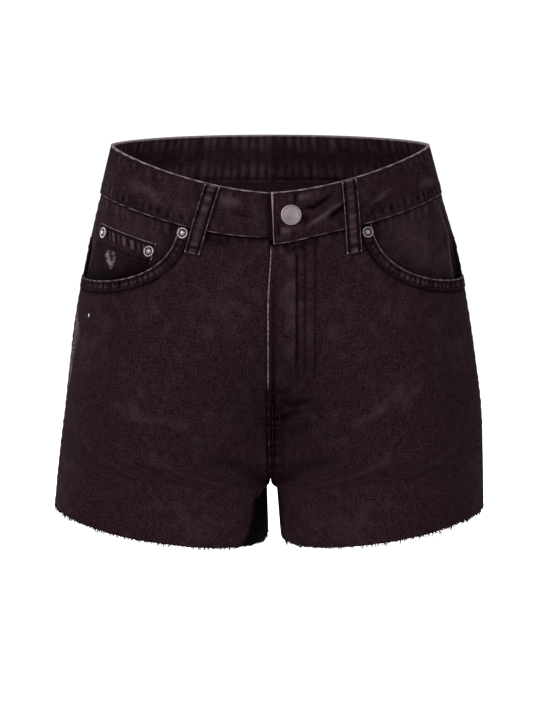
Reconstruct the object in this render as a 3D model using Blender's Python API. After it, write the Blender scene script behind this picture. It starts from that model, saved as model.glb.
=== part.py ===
"""High-waisted denim cut-off shorts, filled out with no wearer: an open waist and two open legs.

Sizes are in millimetres and the meshes in metres. +Z is up, the front faces -Y, +X is the wearer's left,
and the origin is the middle of the waist, where the wearer holds the garment.

Each half of the garment is one surface. Its drop runs down from the waistband's top edge, in mm along the
side seam. Its turn runs round: 0 at the centre front or inseam, 1 at the side seam, 2 at the centre back
or inseam. Every piece of cloth is a wall whose two faces are points of that surface, moved out or in.
"""

import math
import random
from collections import namedtuple

import bmesh
import bpy
import numpy as np
from mathutils import Vector

MM = 0.001
GAP = 0.3
SHARP_ANGLE = math.radians(40)
LEFT = 1
RIGHT = -1

# Drops of the main lines
BAND_HEIGHT = 40.0
RISE = 227.0
CROTCH = 259.0
HEM = 308.5

# The crotch curve and the arch between the legs
CROTCH_Y = 8.0
ARCH_HALF_WIDTH = {LEFT: 4.6, RIGHT: 3.4}
ARCH_DROP = 4.0
LEG_SPREAD = {LEFT: 3.6, RIGHT: -1.6}
SEAM_DIP_REACH = 25.0

# Each leg's section folds round from the front to the inseam, sharply at the crotch and softly at the hem
FOLD_START = 0.2
FOLD_POWER_CROTCH = 6.0
FOLD_POWER_HEM = 3.0

# How the height of a section runs from its centre to its side
FRONT_RISE_POWER = 1.6
BACK_RISE_POWER = 2.0

# Walls, as distances of their two faces from the surface
Wall = namedtuple("Wall", "outer inner")
PANEL = Wall(0.0, -1.5)
BAND = Wall(1.2, -1.5)
FLY_FACING = Wall(-1.8, -2.8)
HIP_FACING = Wall(0.0, -1.0)
COIN = Wall(1.3, 0.3)
PATCH = Wall(2.1, 0.8)

# Waistband
BAND_LAP = 38.0
BAND_LAP_DEPTH = 3.0
BAND_LAP_RUN = 13.0
BAND_END_TOP = 0.4
BAND_END_BOTTOM = 2.9
BAND_DROOP_LEFT = 4.3
BAND_DROOP_RIGHT = -1.3
BAND_DROOP_REACH = 30.0
BAND_JOINS = (0.3, 1.9, 27)
BAND_UNDERLAP_MM = (40.0, 26.0, BAND_LAP_RUN, 8.0, 4.0, 1.0, 0.0)
BUTTONHOLE = (9.5, 24.0)
BUTTONHOLE_ROWS = (0.41, 0.54)

# Rows of the fronts and backs: below the waistband, then shares of the leg below the crotch
TOP_ROWS = (0.0, 10.5, 13.5)
TORSO_ROWS = (25.0, 12)
CROTCH_ROWS = 7
LEG_ROWS = (0.04, 0.12, 0.4, 0.7, 1.0)
FRONT_JOINS = (0.2, 0.4, 0.55, 0.7, 0.85, 1.0)

# Fly: the facing's J outline and how far it raises the left front
FLY_WIDTH = 37.0
FLY_BEND = 150.0
FLY_BOTTOM = 177.5
FLY_RAISE = 0.6
FLY_TURNS_MM = (0.8, 9.5, 24.0, 34.0, FLY_WIDTH)
FLY_ROWS = 12
FLY_FACING_SHORTER = 1.0
SHIELD_BOTTOM = 168.0
SHIELD_THICKNESS = 1.0
ShieldColumn = namedtuple("ShieldColumn", "side distance outer")
SHIELD_COLUMNS = (
    ShieldColumn(RIGHT, 20.0, -1.8),
    ShieldColumn(RIGHT, 9.5, -1.8),
    ShieldColumn(RIGHT, 3.0, -1.8),
    ShieldColumn(RIGHT, 0.3, -3.1),
    ShieldColumn(LEFT, 9.5, -3.1),
    ShieldColumn(LEFT, 24.0, -3.1),
    ShieldColumn(LEFT, 34.0, -3.1),
)

# Front pockets
MOUTH_POWER = 2.25
MOUTH_RADIUS = 75.0
MOUTH_HEM = 8.5
MOUTH_HEM_EDGE = 3.0
MOUTH_HEM_RAISE = 0.8
MOUTH_STEPS = (0.985, 0.93, 0.84, 0.725, 0.60, 0.48, 0.36, 0.24, 0.12, 0.0)
Mouth = namedtuple("Mouth", "start depth")
MOUTHS = {LEFT: Mouth(0.425, 70.0), RIGHT: Mouth(0.387, 70.0)}
FACING_TURNS = (0.34, 0.41, 0.478, 0.54, 0.60, 0.66, 0.73, 0.80, 0.87, 0.94, 1.0)
FACING_DROPS = (40.0, 50.0, 60.5, 72.0, 84.0, 96.0, 107.0, 118.0, 128.0)
FACING_SINK = 3.4
FACING_SINK_FROM = 0.35
FACING_SINK_TO = 0.78
FACING_TOP_SINK = 0.55
FACING_TOP_RUN = 12.0
COIN_TURNS = slice(2, 8)
COIN_DROPS = slice(2, 8)
COIN_SLANT = 0.12

# Back panels, yoke and patch pockets
BACK_TURNS = (1, 1.07, 1.14, 1.21, 1.28, 1.35, 1.42, 1.49, 1.56, 1.61, 1.66, 1.71, 1.78, 1.85, 1.92, 2)
YOKE_SIDE = 38.0
YOKE_CENTRE = 68.0
YOKE_MIDDLE = 50.0
POCKET_TURN = 1.49
POCKET_TOP = 112.0
POCKET_HALF_TOP = 61.0
POCKET_HALF_BOTTOM = 52.0
POCKET_SIDE = 104.0
POCKET_POINT = 20.0
POCKET_STEPS = 9

# Belt loops
LOOP_WIDTH = 12.4
LoopRow = namedtuple("LoopRow", "drop inner outer")
LOOP_ROWS = (
    LoopRow(1.5, 1.5, 4.0),
    LoopRow(4.5, 1.5, 4.6),
    LoopRow(9.0, 1.5, 4.7),
    LoopRow(12.0, 3.1, 5.0),
    LoopRow(22.0, 3.8, 5.4),
    LoopRow(36.0, 3.8, 5.4),
    LoopRow(44.0, 3.0, 4.8),
    LoopRow(49.0, 1.4, 3.9),
    LoopRow(53.0, 0.6, 3.1),
    LoopRow(61.0, 0.5, 2.8),
)
LOOP_FOOT_ROWS = 2
LOOP_BACK_LOWER = 0.8
# Where each loop's middle starts and ends: mm to the left of the centre front, or of the centre back
Loop = namedtuple("Loop", "name top bottom back")
LOOPS = (
    Loop("belt_loop_front_left", 64.8, 69.0, False),
    Loop("belt_loop_front_right", -47.5, -64.6, False),
    Loop("belt_loop_side_left", 118.0, 120.0, True),
    Loop("belt_loop_side_right", -118.0, -120.0, True),
    Loop("belt_loop_back", 0.0, 0.0, True),
)

# Metal: (radius, height) of each turned profile, from the axis to the axis
BUTTON_PROFILE = (
    (0.0, -2.7),
    (2.0, -2.7),
    (2.0, 0.3),
    (7.9, 0.3),
    (8.5, 0.9),
    (8.5, 1.7),
    (7.9, 2.4),
    (7.0, 2.3),
    (5.4, 2.7),
    (0.0, 3.0),
)
RIVET_PROFILE = (
    (0.0, 0.3),
    (4.1, 0.3),
    (4.7, 0.8),
    (4.2, 1.4),
    (3.1, 1.5),
    (2.6, 1.1),
    (1.9, 1.6),
    (0.0, 2.1),
)
BUTTON_SIDES = 20
RIVET_SIDES = 14
BUTTON_AT = (16.7, 20.5)
Rivet = namedtuple("Rivet", "name side turn drop lift")
RIVETS = (
    Rivet("rivet_left", LEFT, 0.403, 47.0, MOUTH_HEM_RAISE),
    Rivet("rivet_right", RIGHT, 0.365, 46.0, MOUTH_HEM_RAISE),
    Rivet("rivet_coin_inner", RIGHT, 0.503, 68.0, COIN.outer),
    Rivet("rivet_coin_outer", RIGHT, 0.768, 67.0, COIN.outer),
)

# Frayed hem
FRAY_STRANDS = 80
FRAY_GAP = 0.5
FRAY_STRIP = 1.4
FRAY_ROOT = 1.1
FRAY_SHORT = 2.0
FRAY_LONG = 5.5
FRAY_LEAN = 2.2
FRAY_TIP_OUT = (-1.2, 0.6)
FRAY_START = 0.25
FRAY_SEED = 7

Section = namedtuple(
    "Section",
    "drop left right front front_x front_y front_slant back_x back_y back_slant back",
)
SECTIONS = (
    Section(0, 133.2, 133.6, 92, 62, 84.5, 16, 62, 85, 16, 92),
    Section(40, 144.0, 143.2, 97, 66, 90, 14, 68, 93, 13, 99),
    Section(94, 159.8, 156.0, 106, 74, 99, 12, 78, 108, 9, 113),
    Section(140, 168.6, 165.2, 112, 80, 105, 10, 84, 118, 6, 121),
    Section(190, 176.2, 171.8, 114, 85, 108, 7, 87, 121, 4, 123),
    Section(RISE, 180.6, 176.0, 114, 89, 106, 3, 90, 119, 2, 122),
    Section(CROTCH, 182.0, 180.2, 114, 93, 104, 0, 94, 113, 0, 121),
    Section(315, 183.4, 186.0, 114, 95, 100, 0, 95, 104, 0, 121),
)
Level = namedtuple("Level", "drop front side back")
LEVELS = (
    Level(0, 20.8, 54, 57),
    Level(40, -17.2, 14, 15),
    Level(RISE, -195.0, -173.0, -185),
    Level(CROTCH, -225.0, -204.0, -225),
    Level(315, -282.5, -257.5, -281),
)

# Where the sampled surface starts and ends, and its steps
FIRST_DROP = -6.0
LAST_DROP = 318.0
TORSO_STEPS = 70
CROTCH_STEPS = 30
LEG_STEPS = 24
ARC_STEPS = 48
QUARTER_REACH = 0.39
FLAT_REACH = 0.34


def smooth(rows, column, drop):
    """The column of a table at any drop, on a cubic through its rows."""
    x = np.array([row.drop for row in rows], float)
    y = np.array([getattr(row, column) for row in rows], float)
    slope = np.gradient(y, x)
    i = int(np.clip(np.searchsorted(x, drop) - 1, 0, len(x) - 2))
    step = x[i + 1] - x[i]
    t = (drop - x[i]) / step
    rising = t * t * (3 - 2 * t)
    return (
        (1 - rising) * y[i]
        + rising * y[i + 1]
        + step * t * (1 - t) * ((1 - t) * slope[i] - t * slope[i + 1])
    )


def ramp(value, start, end):
    """0 before start, 1 past end, smooth between them."""
    t = np.clip((np.asarray(value, float) - start) / (end - start), 0, 1)
    return t * t * (3 - 2 * t)


def arc(start, start_way, end, end_way, reach):
    """A cubic in plan that leaves start and reaches end along the two directions."""
    start, start_way, end, end_way = (
        np.array(v) for v in (start, start_way, end, end_way)
    )
    length = reach * np.linalg.norm(end - start)
    t = np.linspace(0, 1, ARC_STEPS + 1)[:, None]
    return (
        (1 - t) ** 3 * start
        + 3 * t * (1 - t) ** 2 * (start + length * start_way)
        + 3 * t * t * (1 - t) * (end - length * end_way)
        + t**3 * end
    )


def evened(points):
    """The line through these points, with 2 * ARC_STEPS equal steps, and its length."""
    steps = np.linalg.norm(np.diff(points, axis=0), axis=1)
    along = np.concatenate([[0], np.cumsum(steps)])
    even = np.linspace(0, along[-1], 2 * ARC_STEPS + 1)
    columns = [np.interp(even, along, points[:, k]) for k in range(3)]
    return np.stack(columns, axis=1), along[-1]


def folded(start, end, power):
    """A superellipse in plan that leaves start along Y and reaches end along X."""
    t = np.linspace(0, math.pi / 2, ARC_STEPS + 1)
    x = end[0] - (end[0] - start[0]) * np.cos(t).clip(0) ** (2 / power)
    y = start[1] + (end[1] - start[1]) * np.sin(t) ** (2 / power)
    return np.stack([x, y], axis=1)


def quarter(side, drop, way):
    """The front (way -1) or back (way 1) quarter of a section, from its centre or inseam to the side seam."""
    name = "front" if way < 0 else "back"
    width = smooth(SECTIONS, "left" if side == LEFT else "right", drop)
    share = float(np.clip((drop - RISE) / (CROTCH - RISE), 0, 1))
    bend = share * math.pi / 2
    below = max(0.0, drop - CROTCH)
    arch = 1 - min(1.0, below / ARCH_DROP)
    inner_x = GAP / 2 + ARCH_HALF_WIDTH[side] * math.sqrt(1 - arch * arch)
    inner_x += LEG_SPREAD[side] * below / (HEM - CROTCH)
    centre = way * smooth(SECTIONS, name, drop)
    inner = (inner_x, CROTCH_Y + (centre - CROTCH_Y) * math.cos(bend))
    slant = math.radians(smooth(SECTIONS, name + "_slant", drop))
    crown = (
        smooth(SECTIONS, name + "_x", drop),
        way * smooth(SECTIONS, name + "_y", drop),
    )
    crown_way = (math.cos(slant), -way * math.sin(slant))
    fold = math.sin(max(0.0, share - FOLD_START) / (1 - FOLD_START) * math.pi / 2)
    to_hem = below / (HEM - CROTCH)
    power = FOLD_POWER_CROTCH + (FOLD_POWER_HEM - FOLD_POWER_CROTCH) * to_hem
    inner_arc = (1 - fold) * arc(inner, (1.0, 0.0), crown, crown_way, FLAT_REACH)
    inner_arc += fold * folded(inner, crown, power)
    outer_arc = arc(crown, crown_way, (width, 0.0), (0.0, -way), QUARTER_REACH)
    plan = np.concatenate([inner_arc[:-1], outer_arc])
    centre_z = smooth(LEVELS, name, drop)
    side_z = smooth(LEVELS, "side", drop)
    rise_power = FRONT_RISE_POWER if way < 0 else BACK_RISE_POWER
    z = centre_z + (side_z - centre_z) * (plan[:, 0] / width) ** rise_power
    if 0 < share < 1:
        rise_z = smooth(LEVELS, name, RISE)
        seam_z = rise_z + (smooth(LEVELS, name, CROTCH) - rise_z) * math.sin(bend)
        z += (seam_z - centre_z) * np.exp(-plan[:, 0] / SEAM_DIP_REACH)
    points = np.stack([side * plan[:, 0], plan[:, 1], z], axis=1)
    return evened(points)


class Half:
    """One half of the garment: points and outward normals over drop and turn."""

    def __init__(self, side):
        self.side = side
        self.drops = np.concatenate(
            [
                np.linspace(FIRST_DROP, RISE, TORSO_STEPS + 1)[:-1],
                np.linspace(RISE, CROTCH, CROTCH_STEPS + 1)[:-1],
                np.linspace(CROTCH, LAST_DROP, LEG_STEPS + 1),
            ]
        )
        fronts = [quarter(side, drop, -1) for drop in self.drops]
        backs = [quarter(side, drop, 1) for drop in self.drops]
        self.front_lengths = np.array([length for _, length in fronts])
        self.back_lengths = np.array([length for _, length in backs])
        self.points = np.array(
            [
                np.concatenate([front, back[::-1][1:]])
                for (front, _), (back, _) in zip(fronts, backs)
            ]
        )
        self.normals = self.outward()

    def outward(self):
        round_way = np.gradient(self.points, axis=1)
        down = np.gradient(self.points, axis=0)
        normals = np.cross(down, round_way) * self.side
        # Pieces that meet at the centre seams or the inseam share their edge's direction.
        torso = self.drops < CROTCH
        for column in (0, -1):
            normals[torso, column, 0] = 0
        legs = ~torso
        for column in (0, -1):
            normals[legs, column] /= np.linalg.norm(
                normals[legs, column], axis=1, keepdims=True
            )
        seam = normals[legs, 0] + normals[legs, -1]
        normals[legs, 0] = seam
        normals[legs, -1] = seam
        return normals / np.linalg.norm(normals, axis=2, keepdims=True)

    def front_length(self, drop):
        return np.interp(drop, self.drops, self.front_lengths)

    def back_length(self, drop):
        return np.interp(drop, self.drops, self.back_lengths)

    def at(self, drop, turn):
        """Points and normals at arrays of drop and turn."""
        drop, turn = np.broadcast_arrays(
            np.asarray(drop, float), np.asarray(turn, float)
        )
        row = np.interp(drop, self.drops, np.arange(len(self.drops)))
        column = np.clip(turn * 2 * ARC_STEPS, 0, 4 * ARC_STEPS)
        i = np.minimum(row.astype(int), len(self.drops) - 2)
        j = np.minimum(column.astype(int), 4 * ARC_STEPS - 1)
        a = (row - i)[..., None]
        b = (column - j)[..., None]
        found = [
            (1 - a) * ((1 - b) * grid[i, j] + b * grid[i, j + 1])
            + a * ((1 - b) * grid[i + 1, j] + b * grid[i + 1, j + 1])
            for grid in (self.points, self.normals)
        ]
        return found[0], found[1] / np.linalg.norm(found[1], axis=-1, keepdims=True)


def cloth_material(name, colour):
    material = bpy.data.materials.new(name)
    material.use_nodes = True
    shader = material.node_tree.nodes["Principled BSDF"]
    shader.inputs["Base Color"].default_value = (*colour, 1)
    shader.inputs["Roughness"].default_value = 0.9
    return material


def metal_material(name, colour):
    material = cloth_material(name, colour)
    shader = material.node_tree.nodes["Principled BSDF"]
    shader.inputs["Roughness"].default_value = 0.35
    shader.inputs["Metallic"].default_value = 1.0
    return material


def finish(name, mesh_builder, material):
    """Turns a filled bmesh into the named object, with its faces out."""
    bmesh.ops.recalc_face_normals(mesh_builder, faces=mesh_builder.faces)
    mesh = bpy.data.meshes.new(name)
    mesh_builder.to_mesh(mesh)
    mesh_builder.free()
    mesh.materials.append(material)
    mesh.shade_smooth()
    mesh.set_sharp_from_angle(angle=SHARP_ANGLE)
    made = bpy.data.objects.new(name, mesh)
    bpy.context.scene.collection.objects.link(made)
    return made


def wall(name, grid, faces, material, holes=()):
    """A wall over a grid of (points, normals), between the distances faces.outer and faces.inner."""
    points, normals = grid
    rows, columns = points.shape[:2]
    outer = (
        points
        + normals * np.broadcast_to(np.asarray(faces.outer), (rows, columns))[..., None]
    )
    inner = (
        points
        + normals * np.broadcast_to(np.asarray(faces.inner), (rows, columns))[..., None]
    )
    built = bmesh.new()
    layers = [
        [[built.verts.new(layer[i, j] * MM) for j in range(columns)] for i in range(rows)]
        for layer in (outer, inner)
    ]
    cells = {
        (i, j) for i in range(rows - 1) for j in range(columns - 1) if (i, j) not in holes
    }
    for i, j in sorted(cells):
        corners = ((i, j), (i, j + 1), (i + 1, j + 1), (i + 1, j))
        for layer in layers:
            built.faces.new([layer[a][b] for a, b in corners])
        beyond = ((i - 1, j), (i, j + 1), (i + 1, j), (i, j - 1))
        for side, cell in enumerate(beyond):
            if cell in cells:
                continue
            (a, b), (c, d) = corners[side], corners[(side + 1) % 4]
            built.faces.new(
                (layers[0][a][b], layers[0][c][d], layers[1][c][d], layers[1][a][b])
            )
    return finish(name, built, material)


def side_name(name, side):
    return name + ("_left" if side == LEFT else "_right")


def band_seam(side, distance):
    """Drop of the waistband's lower edge, this far from the centre front."""
    droop = BAND_DROOP_LEFT if side == LEFT else BAND_DROOP_RIGHT
    return BAND_HEIGHT + droop * np.exp(-((distance / BAND_DROOP_REACH) ** 2))


def mouth_measure(side, drop, turn):
    """1 along the pocket mouth, less above it and more below it."""
    mouth = MOUTHS[side]
    across = np.clip((1 - np.asarray(turn, float)) / (1 - mouth.start), 0, None)
    down = np.clip((np.asarray(drop, float) - BAND_HEIGHT) / mouth.depth, 0, None)
    return (across**MOUTH_POWER + down**MOUTH_POWER) ** (1 / MOUTH_POWER)


def fly_bottom(distance):
    """Drop of the fly's J outline, this far from the centre front."""
    out = np.clip(distance / FLY_WIDTH, 0, 1)
    return FLY_BEND + (FLY_BOTTOM - FLY_BEND) * np.sqrt(1 - out * out)


def panel_drops():
    """Drops of a panel's rows below the waistband, closer round the crotch."""
    start, count = TORSO_ROWS
    torso = np.linspace(start, RISE - BAND_HEIGHT, count, endpoint=False)
    torso = BAND_HEIGHT + np.concatenate([TOP_ROWS, torso])
    crotch = np.linspace(RISE, CROTCH, CROTCH_ROWS)
    legs = CROTCH + (HEM - CROTCH) * np.array(LEG_ROWS)
    return np.concatenate([torso, crotch, legs])


def spread(rows, top):
    """Rows from each column's own top edge down to the rise, and as they are below it."""
    share = (rows - rows[0]) / (RISE - rows[0])
    return np.where(rows < RISE, top + (RISE - top) * share, rows + 0 * top)


def front_panel(half, material):
    """A front, cut away along the pocket mouth, with the fly and the mouth's hem raised."""
    side = half.side
    mouth = MOUTHS[side]
    rows = panel_drops()[:, None]
    length = half.front_length(rows)
    fly_turns = np.array([0.0, *FLY_TURNS_MM[1:-1], FLY_WIDTH + 1]) / length
    fly_edge = fly_turns[:, -1:]
    join_turns = fly_edge + (mouth.start - fly_edge) * np.array(FRONT_JOINS)
    across = np.array(MOUTH_STEPS)
    mouth_turns = 1 - (1 - mouth.start) * across
    mouth_turns[-1] = 1 - GAP / 2 / half.front_length(BAND_HEIGHT + mouth.depth)
    turns = np.concatenate(
        [
            fly_turns,
            join_turns,
            np.broadcast_to(mouth_turns, (len(rows), len(mouth_turns))),
        ],
        axis=1,
    )
    turns[:, 0] = np.where(rows[:, 0] >= CROTCH - 1, GAP / 2 / length[:, 0], 0)
    distance = turns[:1] * half.front_length(BAND_HEIGHT)
    top = band_seam(side, distance) + GAP
    cut = mouth.depth * (1 - across**MOUTH_POWER) ** (1 / MOUTH_POWER)
    top[0, -len(across) :] = BAND_HEIGHT + GAP + cut
    drops = spread(rows, top)
    from_centre = turns * half.front_length(drops)
    past_mouth = (mouth_measure(side, drops, turns) - 1) * MOUTH_RADIUS
    raised = MOUTH_HEM_RAISE * (1 - ramp(past_mouth, MOUTH_HEM, MOUTH_HEM + MOUTH_HEM_EDGE))
    if side == LEFT:
        fly = (from_centre < FLY_WIDTH) & (drops < fly_bottom(from_centre))
        raised = np.maximum(raised, FLY_RAISE * fly)
    faces = Wall(PANEL.outer + raised, PANEL.inner)
    wall(side_name("front", side), half.at(drops, turns), faces, material)


def yoke_drop(turn):
    """Drop of the yoke's lower edge."""
    return BAND_HEIGHT + YOKE_SIDE + (YOKE_CENTRE - YOKE_SIDE) * (turn - 1)


def back_turns(half, drops):
    """Turns from the side seam to the centre back or inseam, with half a gap at each end."""
    turns = np.tile(np.array(BACK_TURNS), (len(drops), 1))
    length = half.back_length(drops)
    turns[:, 0] += GAP / 2 / length
    turns[:, -1] -= np.where(drops >= CROTCH - 1, GAP / 2 / length, 0)
    return turns


def back_panel(half, material):
    rows = panel_drops()[len(TOP_ROWS) :]
    turns = back_turns(half, rows)
    top = yoke_drop(turns[:1]) + GAP
    drops = spread(rows[:, None], top)
    wall(side_name("back", half.side), half.at(drops, turns), PANEL, material)


def yoke(half, material):
    shares = np.array([0.0, 0.5, 1.0])
    turns = back_turns(half, BAND_HEIGHT + YOKE_MIDDLE * shares)
    top = BAND_HEIGHT + GAP
    drops = top + (yoke_drop(turns) - top) * shares[:, None]
    wall(side_name("yoke", half.side), half.at(drops, turns), PANEL, material)


def waistband(halves, material):
    """One strip: the left end lies over the right one, which runs on under it."""
    rows = np.array([0.0, *BUTTONHOLE_ROWS, 1.0])[:, None]
    left_front = np.array([0.0, *BUTTONHOLE, BAND_LAP])
    joins = np.linspace(*BAND_JOINS)
    columns = [("mm", LEFT, s, 0.0) for s in left_front]
    columns += [("turn", LEFT, t, 0.0) for t in joins]
    columns += [("turn", RIGHT, t, 0.0) for t in (2.0, *joins[::-1])]
    columns += [
        ("mm", RIGHT, s, BAND_LAP_DEPTH * float(ramp(-s, -BAND_LAP_RUN, -1)))
        for s in BAND_UNDERLAP_MM
    ]
    columns += [("mm", LEFT, s, BAND_LAP_DEPTH) for s in left_front[1:]]
    points = np.empty((len(rows), len(columns), 3))
    normals = np.empty_like(points)
    sink = np.array([column[3] for column in columns])
    for j, (unit, side, place, _) in enumerate(columns):
        half = halves[side]
        length = half.front_length(0)
        turn = place / length if unit == "mm" else place
        seam = band_seam(side, min(turn, 1) * length)
        drops = seam * rows
        if j == 0:
            turn = BAND_END_TOP + (BAND_END_BOTTOM - BAND_END_TOP) * rows
            turn = turn / length
        found = half.at(drops, turn)
        points[:, j] = found[0][:, 0]
        normals[:, j] = found[1][:, 0]
    faces = Wall(BAND.outer - sink, BAND.inner - sink)
    wall("waistband", (points, normals), faces, material, holes={(1, 1)})


def fly_layers(halves, material):
    """The facing behind the left front, and the shield behind it and the right front's edge."""
    left = halves[LEFT]
    distances = np.array(FLY_TURNS_MM)
    shares = np.linspace(0, 1, FLY_ROWS)[:, None]
    top = band_seam(LEFT, distances) + GAP
    drops = top + (fly_bottom(distances) - FLY_FACING_SHORTER - top) * shares
    turns = distances / left.front_length(drops)
    wall("fly_facing", left.at(drops, turns), FLY_FACING, material)

    top = BAND_HEIGHT + BAND_DROOP_LEFT + GAP
    drops = top + (SHIELD_BOTTOM - top) * shares[:, 0]
    found = [
        halves[c.side].at(drops, c.distance / halves[c.side].front_length(drops))
        for c in SHIELD_COLUMNS
    ]
    points = np.stack([pair[0] for pair in found], axis=1)
    normals = np.stack([pair[1] for pair in found], axis=1)
    outer = np.array([c.outer for c in SHIELD_COLUMNS])
    faces = Wall(outer, outer - SHIELD_THICKNESS)
    wall("fly_shield", (points, normals), faces, material)


def facing_sink(side, drops, turns):
    """How far the hip facing sinks near the pocket mouth and behind the front, less at the waistband."""
    measure = mouth_measure(side, drops, turns)
    below = ramp(drops, BAND_HEIGHT, BAND_HEIGHT + FACING_TOP_RUN)
    share = FACING_TOP_SINK + (1 - FACING_TOP_SINK) * below
    return FACING_SINK * share * ramp(measure, FACING_SINK_FROM, FACING_SINK_TO)


def facing_grid(half):
    """Grid of the hip facing, its columns slanting as the coin pocket's outer edge does."""
    drops = np.array(FACING_DROPS)[:, None]
    drops[0] += GAP
    turns = np.array(FACING_TURNS)[None, :]
    turns[0, -1] -= GAP / 2 / half.front_length(BAND_HEIGHT)
    top, *_, bottom = FACING_DROPS[COIN_DROPS]
    down = np.clip((drops - top) / (bottom - top), 0, 1)
    first, edge, last = turns[0, 0], turns[0, COIN_TURNS][-1], turns[0, -1]
    turns = turns + COIN_SLANT * down * np.interp(turns, (first, edge, last), (0, 1, 0))
    points, normals = half.at(drops, turns)
    return points, normals, -facing_sink(half.side, drops, turns)


def hip_facing(half, material):
    points, normals, sink = facing_grid(half)
    faces = Wall(HIP_FACING.outer + sink, HIP_FACING.inner + sink)
    wall(side_name("pocket_facing", half.side), (points, normals), faces, material)


def coin_pocket(half, material):
    """The small pocket on the right facing, made from the facing's own points."""
    part = (COIN_DROPS, COIN_TURNS)
    points, normals, sink = (array[part] for array in facing_grid(half))
    faces = Wall(COIN.outer + sink, COIN.inner + sink)
    wall("coin_pocket", (points, normals), faces, material)


def back_pocket(half, material):
    across = np.linspace(-1, 1, POCKET_STEPS)[None, :]
    down = np.linspace(0, 1, POCKET_STEPS)[:, None]
    half_width = POCKET_HALF_TOP + (POCKET_HALF_BOTTOM - POCKET_HALF_TOP) * down
    drops = POCKET_TOP + down * (POCKET_SIDE + POCKET_POINT * (1 - np.abs(across)))
    turns = POCKET_TURN + across * half_width / half.back_length(drops)
    wall(side_name("back_pocket", half.side), half.at(drops, turns), PATCH, material)


def belt_loop(loop, halves, material):
    """A loop over the waistband. The front ones' feet clear the raised hem of the pocket mouth."""
    slide = loop.bottom - loop.top
    lower = LOOP_BACK_LOWER if loop.back else 0.0
    foot_lift = 0.0 if loop.back else MOUTH_HEM_RAISE
    first, last = LOOP_ROWS[0].drop, LOOP_ROWS[-1].drop
    points = np.empty((len(LOOP_ROWS), 2, 3))
    normals = np.empty_like(points)
    for i, row in enumerate(LOOP_ROWS):
        middle = loop.top + slide * (row.drop - first) / (last - first)
        for j, edge in enumerate((-LOOP_WIDTH / 2, LOOP_WIDTH / 2)):
            distance = middle + edge
            half = halves[LEFT if distance > 0 else RIGHT]
            drop = row.drop + lower
            if loop.back:
                turn = 2 - abs(distance) / half.back_length(drop)
            else:
                turn = abs(distance) / half.front_length(drop)
            points[i, j], normals[i, j] = half.at(drop, turn)
    outer = np.array([[row.outer] for row in LOOP_ROWS])
    inner = np.array([[row.inner] for row in LOOP_ROWS])
    outer[-LOOP_FOOT_ROWS:] += foot_lift
    inner[-LOOP_FOOT_ROWS:] += foot_lift
    wall(loop.name, (points, normals), Wall(outer, inner), material)


def turned(name, profile, segments, point, normal, material):
    """A round metal piece, turned from its profile and set on the cloth."""
    built = bmesh.new()
    verts = [built.verts.new((radius * MM, 0, height * MM)) for radius, height in profile]
    edges = [built.edges.new(pair) for pair in zip(verts, verts[1:])]
    bmesh.ops.spin(
        built,
        geom=verts + edges,
        cent=(0, 0, 0),
        axis=(0, 0, 1),
        angle=2 * math.pi,
        steps=segments,
        use_merge=True,
    )
    bmesh.ops.remove_doubles(built, verts=built.verts, dist=1e-6)
    made = finish(name, built, material)
    made.location = Vector(point) * MM
    made.rotation_mode = "QUATERNION"
    made.rotation_quaternion = Vector(normal).to_track_quat("Z", "Y")
    return made


def button(halves, material):
    """Tack button: its shank goes through the buttonhole, down to the end that lies under."""
    distance, drop = BUTTON_AT
    half = halves[LEFT]
    point, normal = half.at(drop, distance / half.front_length(drop))
    base = point + normal * BAND.outer
    turned("button", BUTTON_PROFILE, BUTTON_SIDES, base, normal, material)


def rivet(spec, halves, material):
    half = halves[spec.side]
    point, normal = half.at(spec.drop, spec.turn)
    lift = spec.lift
    if spec.lift == COIN.outer:
        lift -= float(facing_sink(spec.side, spec.drop, spec.turn))
    base = point + normal * lift
    turned(spec.name, RIVET_PROFILE, RIVET_SIDES, base, normal, material)


def frayed_hem(half, chance, material):
    """A narrow strip just under the cut edge, with threads that hang from it."""
    top = HEM + FRAY_GAP
    bottom = top + FRAY_STRIP
    count = FRAY_STRANDS
    round_length = half.front_length(top) + half.back_length(top)
    pitch = 2.0 / count
    root = FRAY_ROOT / round_length * 2
    starts = pitch * (np.arange(count) + FRAY_START)
    ends = starts + root
    built = bmesh.new()

    def ring(drop, turns, away):
        points, normals = half.at(np.full(len(turns), drop), turns)
        return [built.verts.new(v * MM) for v in points + normals * away]

    tops = [ring(top, starts, face) for face in (PANEL.outer, PANEL.inner)]
    lefts = [ring(bottom, starts, face) for face in (PANEL.outer, PANEL.inner)]
    rights = [ring(bottom, ends, face) for face in (PANEL.outer, PANEL.inner)]
    for i in range(count):
        k = (i + 1) % count
        for face in range(2):
            built.faces.new(
                (tops[face][i], tops[face][k], lefts[face][k], rights[face][i], lefts[face][i])
            )
        built.faces.new((tops[0][i], tops[1][i], tops[1][k], tops[0][k]))
        built.faces.new((rights[0][i], rights[1][i], lefts[1][k], lefts[0][k]))
        corners = (lefts[0][i], rights[0][i], rights[1][i], lefts[1][i])
        length = chance.uniform(FRAY_SHORT, FRAY_LONG)
        lean = chance.uniform(-FRAY_LEAN, FRAY_LEAN)
        turn = starts[i] + root / 2 + lean / round_length * 2
        point, normal = half.at(min(bottom + length, LAST_DROP), turn)
        tip = built.verts.new((point + normal * chance.uniform(*FRAY_TIP_OUT)) * MM)
        for a, b in zip(corners, corners[1:] + corners[:1]):
            built.faces.new((a, b, tip))
    finish(side_name("hem_fray", half.side), built, material)


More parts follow.
